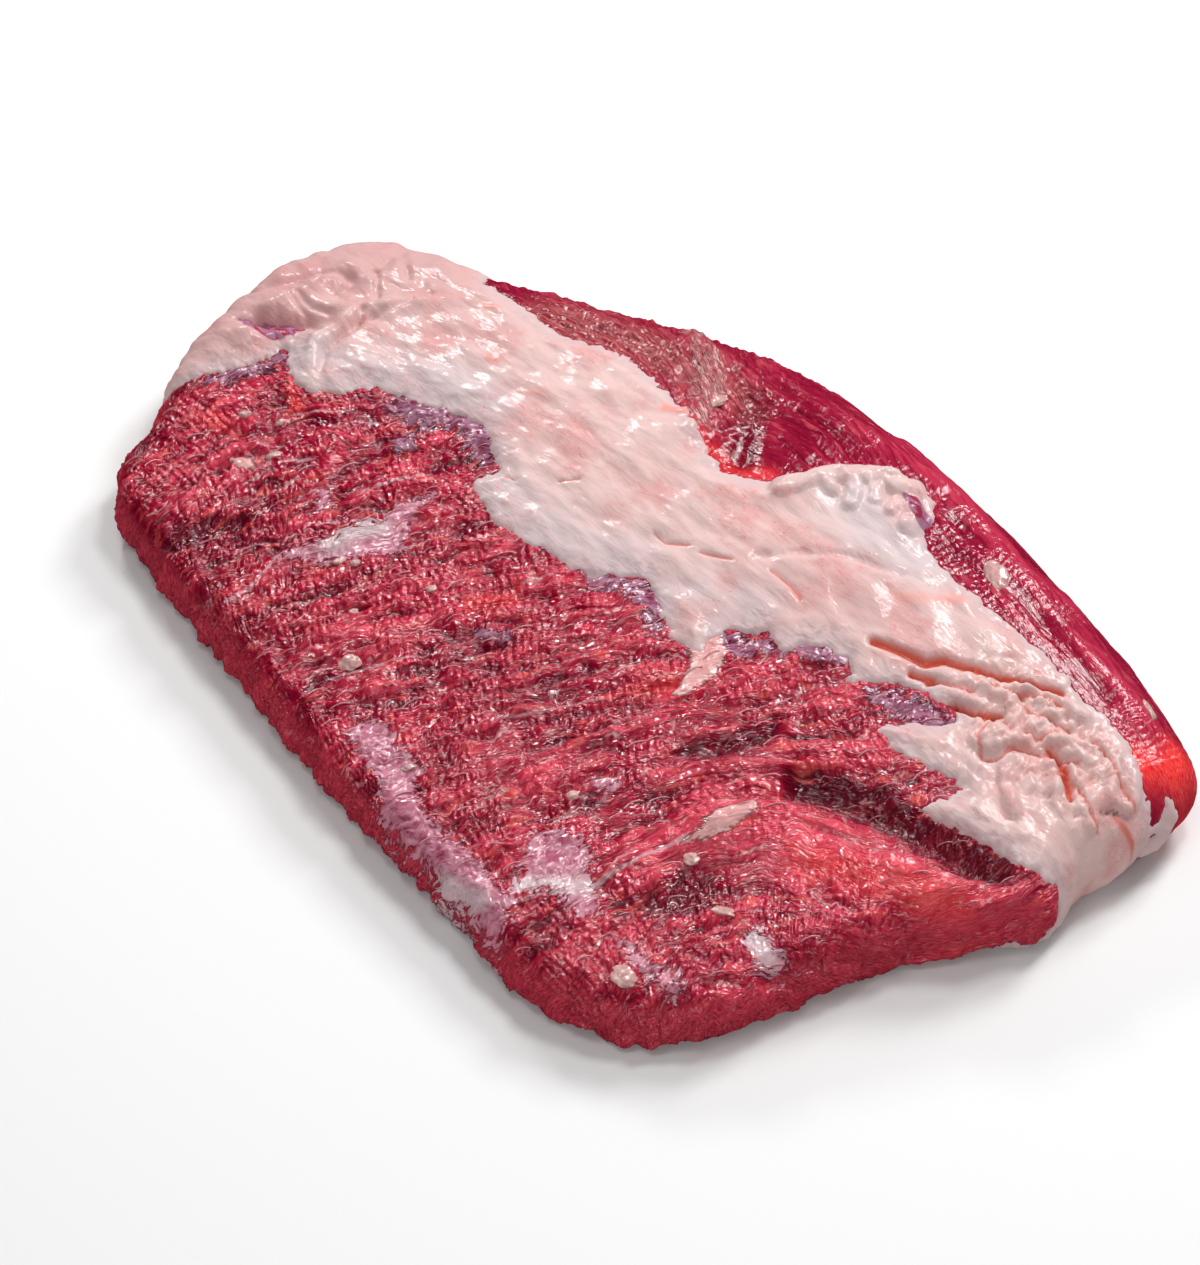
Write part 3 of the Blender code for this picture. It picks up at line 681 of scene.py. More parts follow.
def flat_relief(u, v, across, along):
    """How far the flat stands out from the plain form, in mm: crimped bundles side by side in rows."""
    relief = rolls(across, along, FLAT_WAVES) + rolls(across, along, FLAT_BUNDLES, np.abs)
    row = across / ROW_WIDTH + 1.3 * waves(across / 9, along / 22, 6)
    number, share = np.floor(row), row - np.floor(row)
    turns = along / CRIMP_LENGTH + scattered(number) + 0.5 * waves(u / 6, v / 6, 7)
    crimp = np.sin(2 * math.pi * turns) * 4 * share * (1 - share)
    crimped = 0.1 + 0.9 * smooth(0.0, 0.4, waves(u / 20, v / 20, 8))
    return relief + CRIMP_HEIGHT * crimp * crimped + rolls(u, v, FLAT_KNOBS) - 0.9


def point_relief(u, v, across, along):
    """How far the point stands out from the plain form, in mm: long smooth bundles, rougher at its bend."""
    relief = rolls(across, along, POINT_WAVES) + rolls(across, along, POINT_BUNDLES, np.abs)
    return relief + rolls(u, v, POINT_KNOBS) - 0.2 + smooth(6, -14, u) * rolls(u, v, POINT_ROUGH)


def worm_creases(u, v):
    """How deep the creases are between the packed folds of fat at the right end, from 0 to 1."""
    cosine, sine = WORM_TURN
    along, across = v * cosine - u * sine, u * cosine + v * sine
    along, across = along + 3 * waves(u / 10, v / 10, 61), across + 4 * waves(u / 10, v / 10, 62)
    crease = 1 - np.sqrt(np.clip(np.abs(waves(along / 8.5, across / 3.9, 63)) / 0.30, 0, 1))
    return crease * smooth(0.25, 0.7, marks(u, v, WORMS))


def fat_relief(u, v, side):
    """How far the fat stands out from the plain form, in mm: lumpy, folded, cracked, with a rounded brink."""
    brink = np.clip(side / FAT_BRINK, 0, 1)
    rise = FAT_RISE * (0.12 + 0.88 * brink**0.8)
    lumps = rolls(u, v, FAT_LUMPS) - WORM_DEPTH * worm_creases(u, v)
    folds = np.zeros(len(u))
    knobs = 1 + 0.36 * waves(u / 6.5, v / 6.5, 64)
    for radius, line in FAT_FOLDS:
        off = np.clip(line_distance(u, v, line) / radius, 0, 1)
        folds = np.maximum(folds, 0.75 * radius * knobs * np.sqrt(1 - off**2))
    cracks = np.zeros(len(u))
    for half_width, line in FAT_CRACKS:
        cracks += CRACK_DEPTH * np.exp(-((line_distance(u, v, line) / half_width) ** 2))
    cracks += ridges(u, v, FAT_CREASES) + ridges(u, v, FAT_CUTS) - CHIP_DEPTH * marks(u, v, FAT_CHIPS)
    return rise + brink * (lumps + ridges(u, v, FAT_RIDGES)) + folds - cracks


def flood(cells, start):
    """The cells joined to the start, among those that are set."""
    found = np.zeros_like(cells)
    found[start] = True
    while True:
        grown = found.copy()
        grown[1:] |= found[:-1]
        grown[:-1] |= found[1:]
        grown[:, 1:] |= found[:, :-1]
        grown[:, :-1] |= found[:, 1:]
        grown &= cells
        if (grown == found).all():
            return found
        found = grown


def without_pinches(cells):
    """Fills the cells that would leave two others touching by a corner alone."""
    while True:
        a, b = cells[:-1, :-1], cells[1:, 1:]
        c, d = cells[:-1, 1:], cells[1:, :-1]
        first, second = a & b & ~c & ~d, c & d & ~a & ~b
        if not (first.any() or second.any()):
            return cells
        cells = cells.copy()
        cells[:-1, 1:] |= first
        cells[:-1, :-1] |= second


def border_loop(quads):
    """The sheet's border corners in order, going round with the meat on the left."""
    following = {}
    sides = np.concatenate([quads[:, [k, (k + 1) % 4]] for k in range(4)])
    pairs = set(map(tuple, sides.tolist()))
    for a, b in pairs:
        if (b, a) not in pairs:
            following[a] = b
    start = min(following)
    loop = [start]
    while following[loop[-1]] != start:
        loop.append(following[loop[-1]])
    if len(loop) != len(following):
        raise ValueError("the sheet has more than one border")
    return loop


def close_below(place, quads, ring, lift):
    """Adds walls and an underside to a sheet of meat. Returns the new corners and faces."""
    loop = border_loop(quads)
    count = len(place)
    on_top = [k for k, corner in enumerate(loop) if ring[corner] >= RINGS - 1]
    low_points, low_of = [], {}
    for k, corner in enumerate(loop):
        if ring[corner] == 0:
            low_of[corner] = corner
        elif ring[corner] >= RINGS - 1:
            x, y = place[corner, :2]
            low_of[corner] = count + len(low_points)
            low_points.append((0.95 * x, y - SEAM_SLANT * top_height(x, y), lift))
    for k, corner in enumerate(loop):
        if corner not in low_of:
            gaps = [min(abs(k - other), len(loop) - abs(k - other)) for other in on_top]
            low_of[corner] = low_of[loop[on_top[int(np.argmin(gaps))]]]
    faces = []
    for a, b in zip(loop, loop[1:] + loop[:1]):
        wall = list(dict.fromkeys((b, a, low_of[a], low_of[b])))
        if len(wall) > 2:
            faces.append(wall)
    corners = np.vstack([place, np.array(low_points).reshape(-1, 3)])
    low_loop = [low_of[corner] for corner in loop]
    low_loop = [corner for k, corner in enumerate(low_loop) if corner != low_loop[k - 1]]
    outline = corners[low_loop, :2]
    lowest, highest = outline.min(axis=0), outline.max(axis=0)
    steps = [np.arange(low + 2, high, UNDERSIDE_STEP) for low, high in zip(lowest, highest)]
    inner = np.stack(np.meshgrid(*steps), axis=-1).reshape(-1, 2)
    clear = line_distance(inner[:, 0], inner[:, 1], outline, closed=True) > 0.6 * UNDERSIDE_STEP
    inner = inner[clear & within(inner[:, 0], inner[:, 1], outline)]
    flat = [Vector(spot) for spot in np.vstack([outline, inner])]
    edges = [(k, (k + 1) % len(low_loop)) for k in range(len(low_loop))]
    spots, _, triangles, _, _, _ = geometry.delaunay_2d_cdt(flat, edges, [], 1, 1e-6)
    if len(spots) != len(flat):
        raise ValueError(f"the underside's outline crosses itself: {len(spots) - len(flat)} places")
    hollows = 0.5 + 0.5 * waves(inner[:, 0] / 16, inner[:, 1] / 16, 21)
    under = np.column_stack([inner, lift + 0.5 * np.clip(hollows, 0, 1)])
    numbers = low_loop + list(range(len(corners), len(corners) + len(under)))
    faces += [[numbers[k] for k in reversed(triangle)] for triangle in triangles]
    return np.vstack([corners, under]), faces


def cut_sheet(cells, place, ring, lift):
    """A closed body from the chosen cells: its corners and faces, and the grid corners that it keeps."""
    wide = cells.shape[1] + 1
    rows, columns = np.nonzero(cells)
    first = rows * wide + columns
    quads = np.stack([first, first + 1, first + 1 + wide, first + wide], axis=1)
    used, flat = np.unique(quads, return_inverse=True)
    quads = flat.reshape(quads.shape)
    corners, below = close_below(place[used], quads, ring[used], lift)
    return corners, quads.tolist() + below, used


def build_piece(name, corners, faces, values):
    """A mesh object from corners in mm, with its per-corner values."""
    mesh = bpy.data.meshes.new(name)
    mesh.from_pydata(((corners - MIDDLE) * MM).tolist(), [], faces)
    mesh.validate()
    for label, value in values.items():
        kind = "FLOAT_VECTOR" if value.ndim == 2 else "FLOAT"
        field = "vector" if value.ndim == 2 else "value"
        mesh.attributes.new(label, kind, "POINT").data.foreach_set(field, value.astype(np.float32).ravel())
    mesh.shade_smooth()
    piece = bpy.data.objects.new(name, mesh)
    bpy.context.scene.collection.objects.link(piece)
    return piece


def sheet_cells(side, place, nx, ny):
    """The cells of the grid that each piece takes. Each sheet runs on a little under its neighbour."""
    corner = side.reshape(ny + 1, nx + 1)
    around = np.stack([corner[:-1, :-1], corner[1:, :-1], corner[:-1, 1:], corner[1:, 1:]])
    lean = around.max(axis=0) < LEAN_UNDER
    first = place.reshape(ny + 1, nx + 1, 3)[:-1, :-1]
    starts = {}
    for name, (x, y) in SHEET_STARTS.items():
        off = np.hypot(first[..., 0] - x, first[..., 1] - y)
        starts[name] = np.unravel_index(off.argmin(), off.shape)
    fat = flood(around.min(axis=0) > -FAT_UNDER, starts["hard_fat"])
    cells = {"hard_fat": ~(flood(~fat, starts["flat_lean"]) | flood(~fat, starts["point_lean"]))}
    for name in ("flat_lean", "point_lean"):
        cells[name] = ~flood(~flood(lean, starts[name]), starts["hard_fat"])
    return cells


def meat_heights(u, v, side):
    """How far each piece stands out from the plain form at every corner of the grid, in mm."""
    ragged = side + rolls(u, v, BORDER_WAVES)
    beside = 1 - FLATTER_BESIDE * smooth(BESIDE_REACH, 0, -side)
    under = LEAN_DIP * np.clip(ragged, 0, 3)
    hills = ridges(u, v, LEAN_RIDGES)
    pale = patches(u, v, PALES)
    skin = np.maximum(patches(u, v, VEILS), pale)
    calm = 1 - FLATTER_UNDER_SKIN * np.maximum(skin, marks(u, v, SMOOTH_DARKS))
    flat = flat_relief(u, v, *grain_place(u, v, *GRAINS["flat_lean"]))
    point = point_relief(u, v, *grain_place(u, v, *GRAINS["point_lean"]))
    fat = fat_relief(u, v, np.clip(ragged, 0, None)) - FAT_DIP * np.clip(-ragged, 0, FAT_UNDER)
    return {
        "flat_lean": flat * beside * calm + hills + PALE_RISE * pale - under,
        "point_lean": point * beside + hills - under,
        "hard_fat": fat + hills * smooth(HILLS_REACH, 0, side),
    }


def corner_marks(x, y, side, height, ring):
    """The numbers that the materials read at the corners of a piece, by name."""
    slits = [(1.0, 1.2 * width, line) for width, line in FAT_CRACKS]
    slits += [(0.7, 1.1 * width, line) for _, width, line in FAT_CUTS]
    # The relief's height sets painted shade in the valleys and painted light on the crests, and this adds
    # painted glint light towards the right.
    lighter = PAINTED_GLINTS_RIGHT * smooth(-40, 120, x)
    angle = -90 + 180 * np.minimum(ring, RINGS) / RINGS
    found = {
        "seam": side,
        "rise": np.clip(MEAN_RISE + (height - np.mean(height)) / RISE_SPAN + lighter, 0, 1.2),
        "trim": 1 - smooth(25, 62, angle),
        "crease": worm_creases(x, y),
    }
    for label, table in (
        ("white", WHITES),
        ("strand", STRANDS),
        ("dark", DARKS + SMOOTH_DARKS),
        ("red", REDS),
        ("brown", BROWNS),
        ("blue", BLUES),
        ("chip", FAT_CHIPS),
        ("blush", BLUSH),
        ("crack", slits),
    ):
        found[label] = marks(x, y, table)
    for label, table in (("veil", VEILS), ("membrane", MEMBRANES), ("pale", PALES), ("window", FAT_WINDOWS)):
        found[label] = patches(x, y, table)
    return found


def shape_meat():
    """The three pieces of meat, without materials."""
    nx, ny = ACROSS_CELLS + 2 * RINGS, DEEP_CELLS + 2 * RINGS
    j, i = (index.ravel() for index in np.mgrid[0:ny + 1, 0:nx + 1])
    place, facing, spread, ring = pillow_points(i, j, nx, ny, np.linspace(-90, 90, RINGS + 1))
    side = seam_side(place)
    heights = meat_heights(*spread.T, side)
    cells = sheet_cells(side, place, nx, ny)
    foot = np.minimum(ring / FOOT_RINGS, 1)
    rising = LOWEST_STEP * np.minimum(ring, LOWEST_RINGS)
    pieces = {}
    for name, lift in (("flat_lean", 0.0), ("point_lean", 0.0), ("hard_fat", FAT_LIFT)):
        raised = place + facing * (heights[name] * foot)[:, None]
        raised[:, 2] = np.maximum(raised[:, 2], lift + rising)
        raised[ring == 0, 2] = lift
        corners, faces, used = cut_sheet(without_pinches(cells[name]), raised, ring, lift)
        added = corners[len(used):, :2]
        found = corner_marks(*place[used, :2].T, side[used], heights[name][used], ring[used])
        values = {label: np.r_[value, np.zeros(len(added))] for label, value in found.items()}
        across, along = grain_place(*np.vstack([spread[used], added]).T, *GRAINS[name])
        values["grain"] = np.column_stack([across, along, np.zeros(len(across))])
        pieces[name] = build_piece(name, corners, faces, values)
    return pieces


def add_kernels(name, lean, places, material):
    """Small lumps of fat half sunk in the lean, as one piece."""
    corners = np.array([corner.co[:] for corner in lean.data.vertices])
    normals = np.array([corner.normal[:] for corner in lean.data.vertices])
    form = bmesh.new()
    for k, (x, y, half_length, half_width, angle) in enumerate(places):
        off = np.hypot(corners[:, 0] - (x - MIDDLE[0]) * MM, corners[:, 1] - (y - MIDDLE[1]) * MM)
        nearest = np.where(normals[:, 2] > 0.2, off, 1).argmin()
        made = bmesh.ops.create_icosphere(form, subdivisions=4, radius=1)["verts"]
        ball = np.array([corner.co[:] for corner in made])
        swell = 1 + 0.22 * waves(1.6 * ball[:, 0] + 9 * k, 1.6 * ball[:, 1] + ball[:, 2], 71)
        bend = Matrix.Rotation(math.radians(angle), 3, "Z")
        tilt = Vector((0, 0, 1)).rotation_difference(Vector(normals[nearest])).to_matrix()
        for corner, size in zip(made, swell):
            half = (corner.co.x * half_length, corner.co.y * half_width, corner.co.z * KERNEL_HALF_HEIGHT)
            corner.co = Vector(corners[nearest]) + tilt @ (bend @ (Vector(half) * size)) * MM
    mesh = bpy.data.meshes.new(name)
    form.to_mesh(mesh)
    form.free()
    mesh.shade_smooth()
    mesh.materials.append(material)
    piece = bpy.data.objects.new(name, mesh)
    bpy.context.scene.collection.objects.link(piece)
    return piece


def put_in(tree, socket, value):
    """Sets a socket to a value, or links another node's output to it."""
    if isinstance(value, bpy.types.NodeSocket):
        tree.links.new(value, socket)
    else:
        socket.default_value = value


def add_node(tree, kind, settings=None, **inputs):
    """A node with its settings and inputs."""
    node = tree.nodes.new(kind)
    for label, value in (settings or {}).items():
        setattr(node, label, value)
    for label, value in inputs.items():
        put_in(tree, node.inputs[label.replace("_", " ")], value)
    return node


def strand_tree(material):
    """Geometry nodes that scatter thin strands of fat along the grain over the top of a mesh."""
    tree = bpy.data.node_groups.new("strands of fat", "GeometryNodeTree")
    face = tree.interface
    face.new_socket("Geometry", in_out="INPUT", socket_type="NodeSocketGeometry")
    for label, kind, value in (
        ("Spacing", "NodeSocketFloat", 0.0045),
        ("Share", "NodeSocketFloat", 0.5),
        ("Length", "NodeSocketFloat", 0.0026),
        ("Seed", "NodeSocketInt", 4),
    ):
        face.new_socket(label, in_out="INPUT", socket_type=kind).default_value = value
    face.new_socket("Geometry", in_out="OUTPUT", socket_type="NodeSocketGeometry")

    def add(kind, settings=None, **inputs):
        return add_node(tree, kind, settings, **inputs)

    given = tree.nodes.new("NodeGroupInput").outputs
    normal = add("GeometryNodeInputNormal").outputs[0]
    height = add("ShaderNodeSeparateXYZ", None, Vector=normal).outputs["Z"]
    upper = add("FunctionNodeCompare", {"operation": "GREATER_THAN"}, A=height, B=0.55).outputs[0]
    points = add("GeometryNodeDistributePointsOnFaces", {"distribute_method": "POISSON"},
                 Mesh=given["Geometry"], Selection=upper, Distance_Min=given["Spacing"], Density_Max=60000.0,
                 Density_Factor=given["Share"], Seed=given["Seed"])
    bow = add("GeometryNodeCurveQuadraticBezier", None, Resolution=8, Start=(-1.0, 0.0, 0.0),
              Middle=(0.1, 0.55, 0.12), End=(1.0, 0.1, 0.0))
    rim = add("GeometryNodeCurvePrimitiveCircle", None, Resolution=5, Radius=0.075)
    strand = add("GeometryNodeCurveToMesh", None, Curve=bow.outputs["Curve"],
                 Profile_Curve=rim.outputs["Curve"], Fill_Caps=True)
    upright = add("FunctionNodeAlignRotationToVector", {"axis": "Z"}, Vector=points.outputs["Normal"])
    stray = add("FunctionNodeRandomValue", {"data_type": "FLOAT_VECTOR"}, Min=(0.30, 0.70, -0.2),
                Max=(0.75, 1.0, 0.2), Seed=given["Seed"])
    along = add("FunctionNodeAlignRotationToVector", {"axis": "X", "pivot_axis": "Z"},
                Rotation=upright.outputs[0], Vector=stray.outputs[0])
    size = add("FunctionNodeRandomValue", {"data_type": "FLOAT"}, Seed=7)
    for index, share in zip((2, 3), STRAND_SIZES):
        size.inputs[index].default_value = share
    length = add("ShaderNodeMath", {"operation": "MULTIPLY"})
    tree.links.new(size.outputs[1], length.inputs[0])
    tree.links.new(given["Length"], length.inputs[1])
    placed = add("GeometryNodeInstanceOnPoints", None, Points=points.outputs["Points"],
                 Instance=strand.outputs["Mesh"], Rotation=along.outputs[0], Scale=length.outputs[0])
    whole = add("GeometryNodeRealizeInstances", None, Geometry=placed.outputs["Instances"])
    painted = add("GeometryNodeSetMaterial", None, Geometry=whole.outputs["Geometry"], Material=material)
    tree.links.new(painted.outputs["Geometry"], tree.nodes.new("NodeGroupOutput").inputs[0])
    return tree


def add_strands(name, lean, material, values):
    """Strands of fat on the lean's top, as a plain mesh."""
    tree = strand_tree(material)
    piece = bpy.data.objects.new(name, lean.data.copy())
    bpy.context.scene.collection.objects.link(piece)
    modifier = piece.modifiers.new("strands", "NODES")
    modifier.node_group = tree
    for socket in tree.interface.items_tree:
        if socket.in_out == "INPUT" and socket.name in values:
            modifier[socket.identifier] = values[socket.name]
    bpy.context.view_layer.update()
    mesh = bpy.data.meshes.new_from_object(piece.evaluated_get(bpy.context.evaluated_depsgraph_get()))
    piece.modifiers.clear()
    piece.data = mesh
    mesh.name = name
    mesh.shade_smooth()
    return piece


class Finish:
    """Builds one material, node by node."""

    def __init__(self, name):
        self.material = bpy.data.materials.new(name)
        self.material.use_nodes = True
        self.tree = self.material.node_tree
        self.shader = self.tree.nodes["Principled BSDF"]

    def put(self, socket, value):
        put_in(self.tree, socket, value)

    def add(self, kind, settings=None, **inputs):
        return add_node(self.tree, kind, settings, **inputs)

    def work(self, operation, *values):
        """One sum with one to three values."""
        node = self.add("ShaderNodeMath", {"operation": operation})
        for socket, value in zip(node.inputs, values):
            self.put(socket, value)
        return node.outputs[0]

    def times(self, a, b):
        return self.work("MULTIPLY", a, b)

    def weighed(self, *parts, start=0.0):
        """The parts added up, each times its weight."""
        total = start
        for part, weight in parts:
            total = self.work("MULTIPLY_ADD", part, weight, total)
        return total

    def rest_of(self, share):
        """What a share leaves of 1."""
        return self.work("SUBTRACT", 1.0, share)

    def step(self, value, low, high):
        """0 below low, 1 above high, and a smooth step between."""
        node = self.add("ShaderNodeMapRange", {"interpolation_type": "SMOOTHSTEP"})
        for label, given in (("Value", value), ("From Min", low), ("From Max", high)):
            self.put(node.inputs[label], given)
        return node.outputs["Result"]

    def mix(self, share, a, b):
        """Colour a with this share of colour b."""
        node = self.add("ShaderNodeMix", {"data_type": "RGBA", "blend_type": "MIX", "clamp_factor": True})
        for index, value in ((0, share), (6, a), (7, b)):
            if isinstance(value, tuple):
                value = (*value, 1.0)
            self.put(node.inputs[index], value)
        return node.outputs[2]

    def value(self, name):
        """One of the numbers that the mesh holds for each of its corners."""
        return self.add("ShaderNodeAttribute", {"attribute_name": name}).outputs["Fac"]

    def grain(self, across, along):
        """Places measured across and along the grain in mm, times a scale each way."""
        source = self.add("ShaderNodeAttribute", {"attribute_name": "grain"}).outputs["Vector"]
        return self.scaled(source, (across, along, 1.0))

    def inside(self, x, y=None, z=None):
        """The object's own coordinates in mm, times a scale each way."""
        source = self.add("ShaderNodeTexCoord").outputs["Object"]
        return self.scaled(source, [(share or x) * MM_IN_A_METRE for share in (x, y, z)])

    def scaled(self, vector, scale):
        node = self.add("ShaderNodeVectorMath", {"operation": "MULTIPLY"})
        self.put(node.inputs[0], vector)
        node.inputs[1].default_value = scale
        return node.outputs[0]

    def noise(self, vector, detail=2.0, rough=0.5, warp=0.0):
        node = self.add("ShaderNodeTexNoise", {"noise_dimensions": "3D"}, Vector=vector, Scale=1.0,
                        Detail=detail, Roughness=rough, Distortion=warp)
        return node.outputs["Fac"]

    def lumps(self, vector, softness):
        """1 in the middle of each of many small cells, and less towards their borders."""
        settings = {"voronoi_dimensions": "2D", "feature": "SMOOTH_F1"}
        node = self.add("ShaderNodeTexVoronoi", settings, Vector=vector, Scale=1.0, Smoothness=softness)
        return self.rest_of(node.outputs["Distance"])

    def lines(self, noise, thin, thick):
        """Lines where a noise crosses its middle value, solid for thin each way and gone at thick."""
        off = self.work("ABSOLUTE", self.work("SUBTRACT", noise, 0.5))
        return self.rest_of(self.step(off, thin, thick))

    def ragged(self, mark, *textures):
        """A mark whose border follows some textures."""
        for texture in textures:
            mark = self.work("MULTIPLY_ADD", self.work("SUBTRACT", texture, 0.5), RAGGED, mark)
        return mark

    def relief(self, height, depth):
        """Fine relief in metres, on the meat and on the wet film over it."""
        node = self.add("ShaderNodeBump", None, Height=height, Strength=1.0, Distance=depth)
        for label in ("Normal", "Coat Normal"):
            self.put(self.shader.inputs[label], node.outputs["Normal"])

    def finish(self, colour, coat, coat_roughness, depth):
        """The colour, the wet film over it, and how deep light goes in. Returns the material."""
        self.put(self.shader.inputs["Base Color"], colour)
        for label, value in (
            ("Roughness", 0.5),
            ("Specular IOR Level", 0.0),
            ("Coat Weight", coat),
            ("Coat Roughness", coat_roughness),
            ("Coat IOR", WET_IOR),
            ("Subsurface Weight", depth),
            ("Subsurface Scale", 4 * MM),
        ):
            self.shader.inputs[label].default_value = value
        return self.material


def fibre_patterns(n):
    """The noises that the lean's colour and relief share, by name."""
    wander = n.noise(n.grain(0.10, 0.03), 1.0)
    found = {
        "grit": n.noise(n.inside(0.9), 1.0),
        "streaks": n.noise(n.grain(0.75, 0.05), 3.0, 0.6),
        "fine": n.noise(n.grain(1.9, 0.30), 2.0, 0.6),
        "tears": n.noise(n.grain(0.45, 0.17), 2.0, 0.6),
        "rungs": n.noise(n.grain(0.16, 0.34), 1.0, 0.5, warp=0.6),
        "glow": n.noise(n.grain(0.30, 0.075), 2.0),
        "patches": n.noise(n.inside(0.035), 1.0, 0.6),
        "knots": n.lumps(n.grain(0.40, 0.26), 0.35),
    }
    across, along = n.add("ShaderNodeSeparateXYZ", None, Vector=n.grain(1.0, 1.0)).outputs[:2]
    row = n.weighed((across, ROWS_A_MM), (wander, 3.0))
    share = n.work("FRACT", row)
    found["bundle"] = n.times(n.times(share, 4.0), n.rest_of(share))
    number = n.work("FLOOR", row)
    start = n.add("ShaderNodeTexWhiteNoise", {"noise_dimensions": "1D"}, W=number).outputs["Value"]
    turns = n.weighed((along, CRIMPS_A_MM), (start, 1.0), (found["streaks"], 1.2))
    wave = n.weighed((n.work("SINE", n.times(turns, 2 * math.pi)), 0.5), start=0.5)
    found["crimp"] = n.times(n.times(wave, found["bundle"]), n.step(found["patches"], 0.38, 0.62))
    zigzag = n.times(n.work("SINE", n.times(along, 1.9)), 0.35)
    place = n.add("ShaderNodeCombineXYZ", None, X=n.times(n.work("ADD", across, zigzag), 0.26),
                  Y=n.times(along, 0.035), Z=7.0).outputs[0]
    broken = n.step(n.noise(n.grain(0.16, 0.09), 2.0), 0.53, 0.60)
    found["marbling"] = n.times(n.lines(n.noise(place, 1.0), 0.006, 0.028), broken)
    return found


def lean_material(name, tones, crimped, marbled, edge_pink_and_light, film_depth, coat, coat_roughness):
    """Red meat: rows of fibre crimped crosswise, marbling along them, stains and painted shade, and patches
    of silverskin.
    """
    n = Finish(name)
    dark, plain, bright, orange = tones
    pattern = fibre_patterns(n)
    fine, tears = pattern["fine"], pattern["tears"]
    veil = n.step(n.ragged(n.value("veil"), tears, tears, fine), 0.40, 0.50)
    membrane = n.step(n.ragged(n.value("membrane"), tears, tears, fine), 0.40, 0.62)
    pale = n.step(n.ragged(n.value("pale"), tears, fine), 0.35, 0.62)
    covered = n.work("MAXIMUM", n.work("MAXIMUM", veil, membrane), pale)

    # Colour by the relief's height: darker in the valleys as painted shade, lighter on the crests as painted
    # light.
    shared = [(pattern[part], weight) for part, weight in TONE_WEIGHTS.items()]
    height = n.weighed((n.value("rise"), RISE_WEIGHT), (pattern["crimp"], crimped), *shared)
    height = n.times(height, n.weighed((covered, -SKIN_CALM), start=1.0))
    colour = n.mix(n.step(height, *BODY_HEIGHTS), dark, plain)
    colour = n.mix(n.step(height, *CREST_HEIGHTS), colour, bright)
    colour = n.mix(n.times(n.step(pattern["glow"], 0.56, 0.72), 0.75), colour, orange)
    colour = n.mix(n.times(pattern["marbling"], marbled), colour, MARBLING)
    # Stains, and painted shade in the furrows.
    colour = n.mix(n.times(n.value("dark"), 0.45), colour, STAIN_AND_SHADE)
    colour = n.mix(n.times(n.value("red"), 0.95), colour, n.mix(n.step(fine, 0.3, 0.7), *FRESH_RED))
    brown = n.mix(n.step(pattern["streaks"], 0.35, 0.65), *DRIED_BROWN)
    colour = n.mix(n.times(n.value("brown"), 0.75), colour, brown)
    # The sides of the edge: partly their own pink, partly painted light on them.
    trim = n.times(n.ragged(n.value("trim"), pattern["patches"]), edge_pink_and_light)
    colour = n.mix(trim, colour, n.mix(n.step(fine, 0.3, 0.7), *SIDE_PINK_AND_LIGHT))
    colour = n.mix(n.times(membrane, 0.8), colour, n.mix(n.step(tears, 0.35, 0.65), *MEMBRANE))
    silver = n.mix(n.step(tears, 0.3, 0.7), *SILVERSKIN)
    silver = n.mix(n.ragged(n.value("white"), fine, pattern["patches"]), silver, WHITE_SKIN)
    colour = n.mix(n.times(veil, 0.85), colour, silver)
    colour = n.mix(n.times(n.step(n.value("strand"), 0.35, 0.8), 0.8), colour, THREAD)
    colour = n.mix(pale, colour, n.mix(tears, *THIN_FAT))

    rungs = n.times(pattern["rungs"], n.step(pattern["patches"], 0.40, 0.58))
    shared = [(pattern[part], weight) for part, weight in FILM_WEIGHTS.items()]
    film = n.weighed((rungs, RUNG_WEIGHT), *shared)
    n.relief(n.times(film, n.weighed((covered, -FILM_CALM), start=1.0)), film_depth)
    return n.finish(colour, coat, coat_roughness, depth=0.0)


def bits_material(name, colour):
    """Small bits of fat, of one colour with a little mottling."""
    n = Finish(name)
    spots = n.noise(n.inside(0.4), 3.0)
    darker = tuple(0.75 * share for share in colour)
    n.relief(spots, 0.0005)
    return n.finish(n.mix(n.step(spots, 0.35, 0.65), darker, colour), coat=1.0, coat_roughness=0.1, depth=0.0)


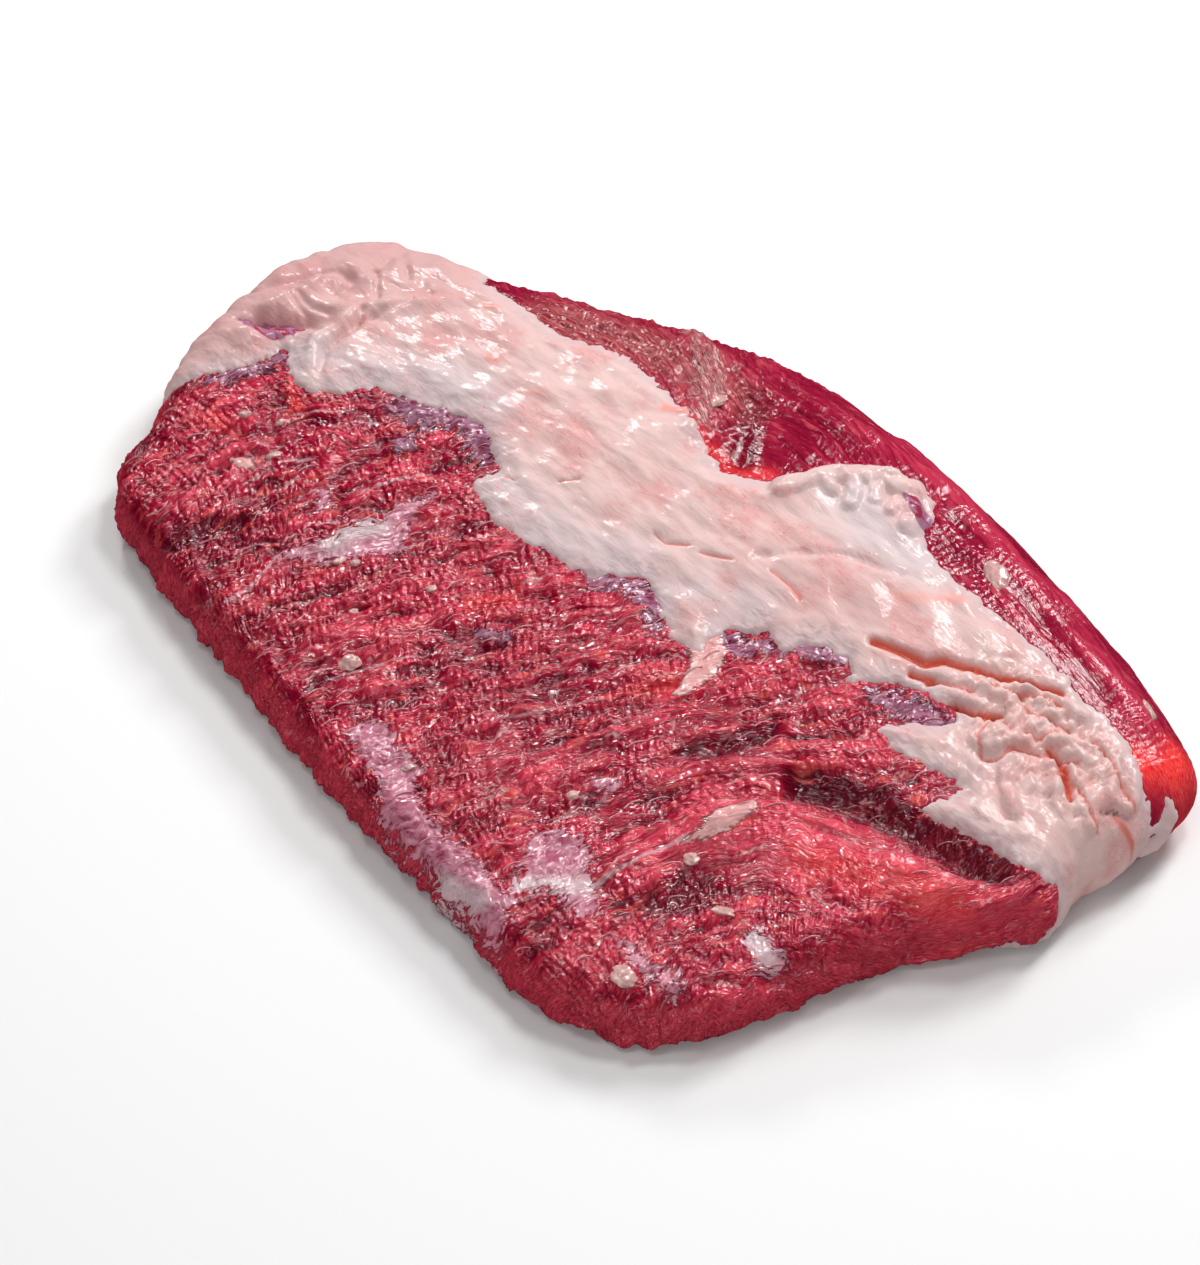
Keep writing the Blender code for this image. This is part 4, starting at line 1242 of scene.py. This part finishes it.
def fat_material(name):
    """Hard fat: cream, with pink patches and fine red veins, bluish where it thins out over the meat."""
    n = Finish(name)
    patches = n.noise(n.inside(0.045), 4.0, 0.6)
    strokes = n.noise(n.inside(0.11, 0.30, 0.22), 2.0, 0.55, warp=0.5)
    fine = n.noise(n.inside(0.9), 3.0, 0.6)
    colour = n.mix(n.step(patches, 0.42, 0.70), FAT_CREAM, FAT_PINK)
    colour = n.mix(n.times(n.step(strokes, 0.52, 0.75), 0.45), colour, FAT_PALE)
    colour = n.mix(n.times(n.value("blush"), 0.75), colour, FAT_BLUSH)
    edge = n.weighed((n.work("SUBTRACT", strokes, 0.5), 14.0), (n.value("seam"), 1.0))
    thin = n.rest_of(n.step(edge, 1.0, 9.0))
    colour = n.mix(n.times(thin, 0.7), colour, FAT_THIN)
    colour = n.mix(n.times(n.value("blue"), 0.8), colour, FAT_BLUISH)
    veins = n.lines(n.noise(n.inside(0.10, 0.34, 0.34), 2.0, warp=1.2), 0.004, 0.016)
    colour = n.mix(n.times(n.times(veins, n.step(patches, 0.50, 0.60)), 0.55), colour, FAT_VEIN)
    colour = n.mix(n.times(n.value("crease"), 0.34), colour, FAT_CREASE)
    colour = n.mix(n.times(n.value("chip"), 0.8), colour, FAT_CHIP)
    colour = n.mix(n.step(n.value("crack"), 0.25, 0.9), colour, FAT_CRACK)
    purple = n.mix(n.step(strokes, 0.4, 0.6), *MEAT_BELOW)
    colour = n.mix(n.step(n.ragged(n.value("window"), strokes), 0.35, 0.6), colour, purple)
    height = n.weighed((strokes, 1.4), (fine, 0.10), (n.value("crease"), -1.0), (n.value("crack"), -1.0))
    n.relief(height, 0.00032)
    return n.finish(colour, coat=0.28, coat_roughness=0.17, depth=0.12)


def add_camera():
    """The photo's view: to the right of the front and above the level."""
    scene = bpy.context.scene
    turn, tilt = math.radians(VIEW_AZIMUTH), math.radians(VIEW_ELEVATION)
    back = Vector((math.sin(turn) * math.cos(tilt), -math.cos(turn) * math.cos(tilt), math.sin(tilt)))
    right = Vector((math.cos(turn), math.sin(turn), 0))
    up = back.cross(right)
    lens = bpy.data.cameras.new("camera")
    lens.lens = LENS
    lens.sensor_width = SENSOR
    lens_pixels = LENS / SENSOR * PHOTO_SIZE[1]
    off = [(aim - size / 2) / lens_pixels * VIEW_DISTANCE for aim, size in zip(AIM_PIXEL, PHOTO_SIZE)]
    camera = bpy.data.objects.new("camera", lens)
    camera.location = Vector(AIM) + back * VIEW_DISTANCE - right * off[0] + up * off[1]
    camera.rotation_euler = Matrix((right, up, back)).transposed().to_euler()
    scene.collection.objects.link(camera)
    scene.camera = camera


def add_floor():
    """A plain pale floor, which the wet film doesn't mirror."""
    mesh = bpy.data.meshes.new("floor")
    corners = [(x * FLOOR_REACH, y * FLOOR_REACH, 0) for x, y in ((-1, -1), (1, -1), (1, 1), (-1, 1))]
    mesh.from_pydata(corners, [], [(0, 1, 2, 3)])
    floor = bpy.data.objects.new("floor", mesh)
    bpy.context.scene.collection.objects.link(floor)
    n = Finish("floor")
    n.shader.inputs["Base Color"].default_value = (FLOOR_GREY, FLOOR_GREY, FLOOR_GREY, 1)
    n.shader.inputs["Roughness"].default_value = 0.9
    mesh.materials.append(n.material)
    floor.visible_glossy = False


def add_light():
    """Soft light from all round, and small bright lamps that the wet film mirrors as glints."""
    scene = bpy.context.scene
    world = bpy.data.worlds.new("world")
    world.use_nodes = True
    background = world.node_tree.nodes["Background"]
    background.inputs["Color"].default_value = (1, 1, 1, 1)
    background.inputs["Strength"].default_value = WORLD_LIGHT
    scene.world = world
    world.cycles_visibility.glossy = False
    for name, place, size, power in LAMPS:
        light = bpy.data.lights.new(name, "AREA")
        light.size = size
        light.energy = power
        lamp = bpy.data.objects.new(name, light)
        lamp.location = place
        lamp.rotation_euler = (Vector(place) - Vector(LIT_PLACE)).to_track_quat("Z", "Y").to_euler()
        scene.collection.objects.link(lamp)
    scene.view_settings.view_transform = "Standard"


add_camera()
add_floor()
add_light()

pieces = shape_meat()
for name, look in LEAN_LOOKS.items():
    pieces[name].data.materials.append(lean_material(name, **look))
pieces["hard_fat"].data.materials.append(fat_material("hard_fat"))
for name, node in (("flat_lean", "flat_muscle"), ("hard_fat", "fat_seam"), ("point_lean", "point_muscle")):
    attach(pieces[name], "root")
    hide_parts(node)

kernel_look = bits_material("kernels", KERNEL)
strand_look = bits_material("strands", STRAND)
bits = (
    add_kernels("flat_kernels", pieces["flat_lean"], FLAT_KERNELS, kernel_look),
    add_kernels("point_kernels", pieces["point_lean"], POINT_KERNELS, kernel_look),
    add_strands("flat_strands", pieces["flat_lean"], strand_look, STRAND_SETTINGS),
)
for piece in bits:
    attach(piece, "root")
